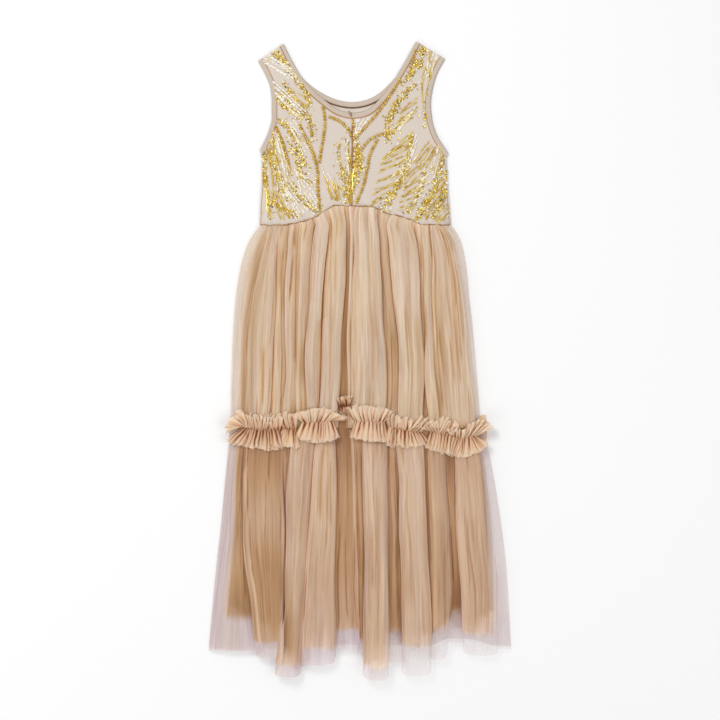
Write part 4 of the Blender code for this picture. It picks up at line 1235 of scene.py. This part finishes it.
# Fans of bugles: both ends of the line that the rays start on, both ends of the one that they end on, how
# many rays, and how pale they are
FANS = (
    (-160, 478, -146, 490, -112, 450, -102, 460, 5, 0.98),
    (-141, 446, -138, 427, -87, 395, -100, 389, 6, 0.95),
    (-126, 430, -118, 436, -84, 404, -78, 410, 3, 0.6), (-110, 386, -113, 373, -76, 338, -90, 328, 4, 0.9),
    (-130, 368, -137, 348, -108, 297, -120, 271, 7, 0.8),
    (-144, 352, -152, 326, -123, 265, -144, 251, 6, 0.55),
    (-112, 281, -123, 269, -78, 243, -100, 223, 6, 0.92),
    (-106, 308, -101, 302, -68, 287, -96, 270, 7, 0.9),
    (-132, 268, -140, 262, -112, 228, -126, 224, 5, 0.5),
    (-156, 300, -150, 298, -150, 236, -141, 232, 3, 0.5), (-90, 268, -80, 276, -72, 244, -66, 252, 3, 0.95),
    (110, 497, 134, 485, 103, 449, 121, 460, 7, 0.8), (104, 470, 112, 470, 103, 402, 112, 410, 3, 0.55),
    (94, 420, 85, 390, 65, 399, 59, 371, 6, 0.55), (82, 398, 90, 404, 55, 372, 62, 366, 3, 0.95),
    (81, 366, 85, 338, 44, 331, 32, 314, 7, 0.62), (90, 362, 92, 330, 76, 330, 74, 302, 4, 0.95),
    (76, 323, 47, 262, 31, 305, 16, 246, 8, 0.56), (88, 330, 70, 300, 62, 318, 44, 276, 5, 0.7),
    (112, 350, 123, 336, 86, 316, 99, 300, 5, 0.55), (126, 352, 131, 338, 112, 300, 120, 292, 3, 0.8),
    (108, 323, 88, 243, 72, 288, 60, 238, 9, 0.58), (118, 300, 104, 262, 92, 284, 82, 250, 4, 0.9),
    (139, 262, 130, 290, 104, 224, 100, 240, 6, 0.5), (142, 250, 143, 232, 118, 222, 126, 219, 4, 0.6),
    (-56, 295, -34, 280, -44, 256, -29, 252, 6, 0.5), (-62, 310, -52, 300, -52, 286, -44, 276, 2, 0.95),
    (-6, 386, 17, 389, -9, 361, -1, 363, 5, 0.95), (-21, 330, -15, 328, -19, 251, -13, 249, 4, 0.45),
    (-26, 360, -20, 352, -20, 300, -16, 296, 2, 0.9), (-8, 344, -2, 340, -10, 300, -6, 292, 3, 0.4),
)


BAND_STEPS = 120


def circle(sides):
    turn = np.arange(sides) * 2 * np.pi / sides
    return np.cos(turn), np.sin(turn)


def disc_shape(rim):
    """A cupped sequin of radius 1 that faces up."""
    points = np.concatenate([[(0, 0, -0.16)], np.column_stack([*circle(rim), np.zeros(rim)])])
    return points, np.array([(0, 1 + k, 1 + (k + 1) % rim) for k in range(rim)])


def ball_shape(sides, rings):
    """A ball of radius 1."""
    cos, sin = circle(sides)
    points, faces = [(0, 0, 1)], []
    for tilt in np.pi * np.arange(1, rings) / rings:
        points += [(np.sin(tilt) * x, np.sin(tilt) * y, np.cos(tilt)) for x, y in zip(cos, sin)]
    points.append((0, 0, -1))
    last = len(points) - 1
    for k in range(sides):
        n = (k + 1) % sides
        faces += [(0, 1 + k, 1 + n), (last, last - sides + n, last - sides + k)]
        for a, b in ((1 + ring * sides + k, 1 + ring * sides + n) for ring in range(rings - 2)):
            faces += [(a, a + sides, b + sides), (a, b + sides, b)]
    return np.array(points), np.array(faces)


def rod_shape(sides):
    """A rod of radius 1 along x, from -1 to 1, with closed ends."""
    ring = np.column_stack([np.zeros(sides), *circle(sides)])
    points = np.concatenate([ring - (1, 0, 0), ring + (1, 0, 0), [(-1, 0, 0), (1, 0, 0)]])
    start, end = 2 * sides, 2 * sides + 1
    faces = []
    for k in range(sides):
        n = (k + 1) % sides
        faces += [(k, k + sides, n + sides), (k, n + sides, n), (start, k, n), (end, n + sides, k + sides)]
    return points, np.array(faces)[:, ::-1]


def strewn(name, shape, places, ways, ups, sizes, shades, material, smooth=True):
    """Copies of a small shape as one piece, each with its place, way, three sizes and shade."""
    points, faces = shape
    ways = np.column_stack([ways, np.zeros(len(ways))])
    ways = unit(ways - ups * np.sum(ways * ups, axis=1, keepdims=True))
    axes = np.stack([ways, np.cross(ups, ways), ups], axis=1)
    made = places[:, None] + (points[None] * np.stack(sizes, axis=1)[:, None]) @ axes
    turned = faces[None] + (np.arange(len(places)) * len(points))[:, None, None]
    values = {"shade": np.repeat(np.clip(shades, 0, 1), len(points))}
    piece(name, made, turned.reshape(-1, 3), material, values=values, smooth=smooth)


def settle(tree, flat, *others):
    """The places that lie on the bodice, its upward directions there, and the others' rows for them."""
    kept, places, ups = [], [], []
    for index, (x, y) in enumerate(flat):
        hit, normal = tree.ray_cast(Vector((x, y, ABOVE_ALL)), DOWN)[:2]
        if hit is not None:
            kept.append(index)
            places.append((x, y, hit.z))
            ups.append(tuple(normal * (1 if normal.z > 0 else -1)))
    return np.array(places), np.array(ups), *(other[kept] for other in others)


def tilted(ups, amount, rng):
    """Upward directions, each leaning its own way by about that much."""
    turn = rng.uniform(0, 2 * np.pi, len(ups))
    lean = amount * rng.uniform(0.2, 1.0, len(ups))
    return unit(ups + np.column_stack([np.cos(turn) * lean, np.sin(turn) * lean, np.zeros(len(ups))]))


def band_places(rng, per_area, spread_out):
    """Random places along the bands, closer together at their middles, with the way that each band runs."""
    flats, ways = [], []
    for start_width, middle_width, end_width, *points in BANDS:
        line = through(points, BAND_STEPS)
        way = unit(np.gradient(line, axis=0))
        at_steps = np.linspace(0, 1, BAND_STEPS)
        widths = np.interp(at_steps, (0, 0.5, 1), (start_width, middle_width, end_width))
        count = int(lengths(line)[-1] * widths.mean() * per_area)
        at = rng.uniform(0, BAND_STEPS - 1, count)
        clumped = noise(at / 7, start_width + middle_width, len(points))
        at = at[rng.uniform(-1.2, 0.6, count) < clumped]
        index = at.astype(int)
        across = np.clip(rng.normal(0, 0.36, len(at)), -1, 1) * widths[index] * 0.5 * spread_out
        side = np.column_stack([-way[index, 1], way[index, 0]])
        flats.append(line[index] + side * across[:, None])
        ways.append(way[index])
    return np.concatenate(flats), np.concatenate(ways)


def sequins(tree, material):
    rng = np.random.default_rng(401)
    flat, ways = band_places(rng, 0.33, 1.2)
    loose = rng.uniform((-155, 222), (141, 470), (520, 2))
    near = np.min(np.linalg.norm(loose[:, None] - flat[None, ::6], axis=2), axis=1)
    loose = loose[near < rng.uniform(5, 15, len(loose))]
    flat, ways = np.concatenate([flat, loose]), np.concatenate([ways, unit(rng.normal(size=loose.shape))])
    places, ups, ways = settle(tree, flat, ways)
    ups, count = tilted(ups, 0.42, rng), len(ups)
    radius = rng.uniform(1.15, 1.8, count)
    places = places + ups * (0.5 + rng.uniform(0, 0.9, count))[:, None]
    pale = rng.uniform(size=count) < np.where(places[:, 0] < -30, 0.34, 0.26)
    shades = np.where(pale, rng.uniform(0.8, 1.0, count), rng.uniform(0.1, 0.7, count))
    shades = np.where(rng.uniform(size=count) < 0.04, 0.0, shades)
    sizes = (radius, radius, radius)
    strewn("bodice_sequins", disc_shape(8), places, ways, ups, sizes, shades, material, smooth=False)


def cup_beads(tree, material, rng):
    """The chains of beads, which are wider than they are long."""
    flats, ways = [], []
    for points in CHAINS:
        line = through(points, max(int(lengths(np.array(points, float))[-1] / 3.8), 3))
        flats.append(line + rng.normal(0, 0.25, line.shape))
        ways.append(unit(np.gradient(line, axis=0)))
    places, ups, ways = settle(tree, np.concatenate(flats), np.concatenate(ways))
    count = len(ups)
    sizes = [rng.uniform(low, high, count) for low, high in ((1.5, 1.8), (2.8, 3.4), (1.3, 1.6))]
    ways = ways + rng.normal(0, 0.12, (count, 2))
    shades = rng.uniform(0.15, 0.55, count)
    strewn("bodice_cup_beads", ball_shape(8, 5), places + ups * 1.1, ways, ups, sizes, shades, material)


def seed_beads(tree, material, rng):
    """Small round beads among the sequins."""
    places, ups, ways = settle(tree, *band_places(rng, 0.09, 1.6))
    size = rng.uniform(0.7, 1.15, len(ups))
    shades = rng.uniform(0, 0.9, len(ups))
    sizes = (size, size, size)
    strewn("bodice_seed_beads", ball_shape(6, 4), places + ups * 0.9, ways, ups, sizes, shades, material)


def bugles(tree, material):
    """Fans of small rods, set end to end along rays that bow a little."""
    rng = np.random.default_rng(403)
    flats, ways, shades = [], [], []
    for *corners, rays, paleness in FANS:
        first, last, first_end, last_end = np.reshape(corners, (4, 2))
        for s in np.linspace(0, 1, rays):
            start = first + (last - first) * s + rng.normal(0, 1.2, 2)
            end = first_end + (last_end - first_end) * s + rng.normal(0, 1.2, 2)
            length = np.linalg.norm(end - start)
            way = (end - start) / length
            count = max(int(length / 6.2), 1)
            t = (np.arange(count)[:, None] + 0.5) / count
            bow = rng.uniform(-0.06, 0.06) * length * 4 * t * (1 - t)
            at = start + (end - start) * t + np.array([-way[1], way[0]]) * bow
            flats.append(at + rng.normal(0, 0.25, at.shape))
            ways.append(way + rng.normal(0, 0.05, at.shape))
            shades.append(paleness + 0.08 + rng.normal(0, 0.14, count))
    places, ups, ways, shades = settle(tree, *(np.concatenate(rows) for rows in (flats, ways, shades)))
    thick = rng.uniform(0.85, 1.25, len(ups))
    sizes = (rng.uniform(2.5, 3.3, len(ups)), thick, thick)
    places = places + ups * 0.8
    strewn("bodice_bugles", rod_shape(6), places, ways, ups, sizes, shades, material, smooth=False)


# ---------------------------------------------------------------- stage


# In metres
CAMERA_AWAY = 6.0
SEEN_Z = 0.006
SHOWN_ACROSS = 1.152
SENSOR_MM = 36
FLOOR_Z = -0.0004
SKY_STRENGTH = 0.57
# Each lamp's place, size and power
LIGHTS = (
    ("key", (-1.3, 1.5, 2.3), 1.1, 34),
    ("fill", (1.6, -0.8, 2.2), 1.6, 14),
    ("low", (-1.6, -1.4, 1.2), 0.8, 6),
)


def camera_and_lights():
    """The camera straight above, a pale floor, and soft light from all sides and from three lamps."""
    scene = bpy.context.scene
    camera = bpy.data.cameras.new("camera")
    camera.sensor_width = SENSOR_MM
    camera.lens = SENSOR_MM * CAMERA_AWAY / SHOWN_ACROSS
    scene.camera = put("camera", camera, (0, 0, CAMERA_AWAY + SEEN_Z))
    mesh = bpy.data.meshes.new("floor")
    mesh.from_pydata([(-4, -4, 0), (4, -4, 0), (4, 4, 0), (-4, 4, 0)], [], [(0, 1, 2, 3)])
    mesh.materials.append(Nodes("floor").finish((0.98, 0.98, 0.98, 1), 0.9))
    put("floor", mesh, (0, 0, FLOOR_Z))
    scene.world = bpy.data.worlds.new("world")
    scene.world.use_nodes = True
    sky = scene.world.node_tree.nodes["Background"].inputs
    sky["Color"].default_value = (1, 1, 1, 1)
    sky["Strength"].default_value = SKY_STRENGTH
    for name, place, size, power in LIGHTS:
        light = bpy.data.lights.new(name, "AREA")
        light.size = size
        light.energy = power
        lamp = put(name, light, place)
        lamp.rotation_euler = (-Vector(place)).to_track_quat("-Z", "Y").to_euler()
    scene.view_settings.view_transform = "Standard"
    scene.view_settings.look = "None"
    scene.cycles.transparent_max_bounces = 24


# The tulles' colours: on the lit ridges, halfway into a fold and deep in it, where painted shade darkens it,
# partly its denser layers, and where it lies one layer thick and where highlights are painted on it
TULLES = {
    "upper": ((255, 236, 213), (220, 180, 134), (144, 92, 56), (248, 238, 230)),
    "lower": ((254, 229, 207), (214, 174, 136), (138, 92, 56), (229, 216, 222)),
    "inner": ((210, 172, 134), (194, 152, 112), (170, 122, 82), (222, 204, 192)),
    "ruffle": ((252, 225, 194), (224, 170, 124), (138, 78, 40), (254, 238, 216)),
}
OUTER = tulle("upper_tulle", *TULLES["upper"], streaky=0.85)
OUTER_LOW = tulle("lower_tulle", *TULLES["lower"], streaky=0.75)
INNER = tulle("inner_tulle", *TULLES["inner"])
FRILL = tulle("ruffle_tulle", *TULLES["ruffle"], cover=0.84, streaky=0.6)
SATIN = woven(
    "satin", (192, 152, 88), (168, 126, 66), roughness=0.5, across=520, down=900, height=0.0002, sheen=0.2
)
KNIT = woven(
    "knit", (214, 198, 182), (190, 172, 154), roughness=0.7, across=700, down=420, height=0.00015, sheen=0.15
)
MESH = netting("beaded_mesh", (228, 216, 205), (198, 183, 168), cells=620.0)
THREAD = plain("seam_thread", (196, 144, 82))
SEAM_THREAD = plain("front_thread", (182, 126, 62))
# Dark brown of the back neck's seam and of the painted shade in the gap beside it
SEAM_AND_GAP_SHADE = plain("neck_seam_and_gap_shade", (120, 82, 58))
PALEST = (1.0, 252, 248, 240)
COATING = ((0.0, 112, 92, 44), (0.08, 172, 132, 34), (0.4, 216, 182, 66), (0.72, 238, 218, 132), PALEST)
GOLD = metal("gold_coating", COATING, 0.25)
GLASS = ((0.0, 170, 122, 16), (0.4, 218, 174, 38), (0.72, 236, 212, 122), PALEST)
BEAD_GOLD = metal("gold_glass", GLASS, 0.3)


UPPER, LOWER = (UPPER_FOLDS, UPPER_EDGES), (LOWER_FOLDS, LOWER_EDGES)


def outer_front():
    """The two tiers that show. Gives their points."""
    upper = tier(
        *UPPER, empire_line(-0.2), level_line(JOIN_Y + 0.2), rows=96, seed=11, creases=UPPER_CREASES,
        sewn=1.0, bands=((5, 15), (4, 16)), thins=((30, 52), (6, 22)), base=0.56, bareness=(0.2, 0.3),
    )
    lower = tier(
        *LOWER, level_line(JOIN_Y - 0.2), None, rows=96, seed=31, creases=LOWER_CREASES, deeper=0.15,
        bands=((16, 28), (17, 34)), thins=((36, 56), (22, 42)), base=0.54, bareness=(0.06, 0.42),
    )
    sheet_piece("tulle_upper_front", [upper], OUTER, "skirt_upper_front")
    sheet_piece("tulle_lower_front", [lower], OUTER_LOW, "skirt_lower_front")
    return upper[0], lower[0]


def under_front(ceiling):
    """The underskirt's front. ceiling is what it stays below."""
    same = dict(
        level=UNDERSKIRT_FRONT_Z, rise=0.5, lap=0.5, waves=0.8, drop=0.5, inset="underskirt", ceiling=ceiling,
        spacing=1.7, base=0.46, bareness=(0.34, 0.34),
    )
    top, join = empire_line(-2), level_line(JOIN_Y)
    upper = tier(*UPPER, top, join, rows=50, seed=51, sewn=1.0, thins=((8, 34), (4, 20)), **same)
    lower = tier(*LOWER, join, None, rows=54, seed=61, thins=((8, 40), (4, 20)), **same)
    sheet_piece("inner_tulle_front", [upper, lower], INNER, "underskirt_front")


def skirt_back():
    """The backs of the underskirt and of the outer tiers, pressed flat."""
    same = dict(
        level=UNDERSKIRT_BACK_Z, lap=0.4, waves=0.3, drop=0.0, lowest=-0.6, inset="underskirt", spacing=3.0,
        base=0.6,
    )
    top, join = level_line(BACK_SEAM_Y - 2), level_line(JOIN_Y)
    upper = tier(*UPPER, top, join, rows=30, seed=71, rise=0.04, sewn=1.0, **same)
    lower = tier(*LOWER, join, None, rows=32, seed=81, rise=0.03, **same)
    sheet_piece("inner_tulle_back", [upper, lower], INNER, "underskirt_back")
    same = dict(level=TIER_BACK_Z, lap=0.6, waves=0.45, drop=0.0, lowest=-0.2, lift=1.5, spacing=2.2)
    top, join = level_line(BACK_SEAM_Y - 0.2), level_line(JOIN_Y + 0.2)
    upper = tier(*UPPER, top, join, rows=40, seed=91, rise=0.07, sewn=1.0, **same)
    lower = tier(
        *LOWER, level_line(JOIN_Y - 0.2), hem_line(TIER_BACK_HEM), rows=44, seed=95, rise=0.06,
        thins=((8, 26), (24, 44)), bareness=(0.15, 0.4), **same,
    )
    sheet_piece("tulle_upper_back", [upper], OUTER, "skirt_upper_back")
    sheet_piece("tulle_lower_back", [lower], OUTER_LOW, "skirt_lower_back")


def bindings(lines):
    """The strips along the neck and the armholes, each as a back and a front stretch."""
    for face, (underside, high) in BINDING_LEVELS.items():
        edge = shoulder_to_shoulder(lines[face, "left"][0], lines[face, "right"][0])
        strip = binding(edge, neck_seam(lines, face), underside, high, 121)
        sheet_piece(f"neck_binding_cloth_{face}", [strip], KNIT, f"neck_binding_{face}")
        for hand in HANDS:
            edge = lines["armhole", hand][0]
            edge = np.concatenate([edge, [edge[-1] + 0.04 * (edge[-1] - edge[-2])]])
            strip = binding(edge, armhole_seam(lines, hand), underside, high, 131)
            name = f"{hand}_{face}"
            sheet_piece(f"armhole_binding_cloth_{name}", [strip], KNIT, f"armhole_binding_{name}")


def seams(lines, on_bodice, on_front):
    """The threads along the seams, two stitches at the front neck, and a thick dark cord along the back neck
    seam, which is partly that seam and partly painted shade in the gap beside the front's neck binding.
    """
    neck = on_cloth(neck_seam(lines, "front", 0.2), on_bodice, 0.35, 2.4)
    threads("neck_seam", [neck], 0.7, THREAD, "binding")
    arms = [armhole_seam(lines, hand, 0.2) for hand in HANDS]
    arms += [along(SIDES[hand], 40) - (side * SIDE_THREAD_IN, 0) for hand, side in HANDS.items()]
    threads("armhole_seams", [on_cloth(line, on_bodice, 0.15, 2.4) for line in arms], 0.4, THREAD, "binding")
    y = np.linspace(empire_y(-13.0) + 1, 386, 60)
    centre = np.stack([centre_x(y) + 0.25 * noise(y / 9, 0.5, 141), y], axis=1)
    x = np.linspace(-158, 143, 240)
    empire = np.stack([x, empire_y(x) + 1.1 * noise(x / 3.2, 0.5, 142)], axis=1)
    front = [on_cloth(empire, on_front, 0.4, 8.0), on_cloth(centre, on_bodice, 0.3, 3.0)]
    threads("front_seams", [*front, *map(np.array, NECK_STITCHES)], 0.75, SEAM_THREAD, "bodice")
    # The back neck seam, thick and dark: partly its thread, partly painted shade in the gap beside the
    # front's neck binding
    back = neck_seam(lines, "back", 0.3)
    back = np.column_stack([back, np.full(len(back), BACK_SEAM_SHADE_Z)])
    threads("back_neck_seam_and_gap_shade", [back], 1.3, SEAM_AND_GAP_SHADE, "binding")


camera_and_lights()
tiers = outer_front()
outer_tree = tree_of(*tiers)
under_front(outer_tree)
skirt_back()
satin_layer("front", empire_line(-2), hem_line(LINING_FRONT_HEM), LINING_FRONT_Z, 41)
satin_layer("back", level_line(BACK_SEAM_Y - 2), hem_line(LINING_BACK_HEM), LINING_BACK_Z, 45)
edges = bodice_lines()
panels = {hand: bodice_front(edges, hand, seed) for hand, seed in (("left", 101), ("right", 111))}
for hand, part in panels.items():
    sheet_piece(f"bodice_mesh_{hand}", [part], MESH, f"bodice_front_{hand}")
sheet_piece("bodice_mesh_back", [bodice_back(edges, hand) for hand in HANDS], MESH, "bodice_back")
bindings(edges)
fronts = [part[0] for part in panels.values()]
bodice_tree = tree_of(*fronts)
seams(edges, bodice_tree, tree_of(tiers[0], *fronts))
sequins(bodice_tree, GOLD)
bead_rng = np.random.default_rng(402)
cup_beads(bodice_tree, BEAD_GOLD, bead_rng)
seed_beads(bodice_tree, BEAD_GOLD, bead_rng)
bugles(bodice_tree, BEAD_GOLD)
sheet_piece("ruffle_frill_front", ruffle_front(outer_tree), FRILL, "ruffle_front")
sheet_piece("ruffle_frill_back", [ruffle_back()], FRILL, "ruffle_back")
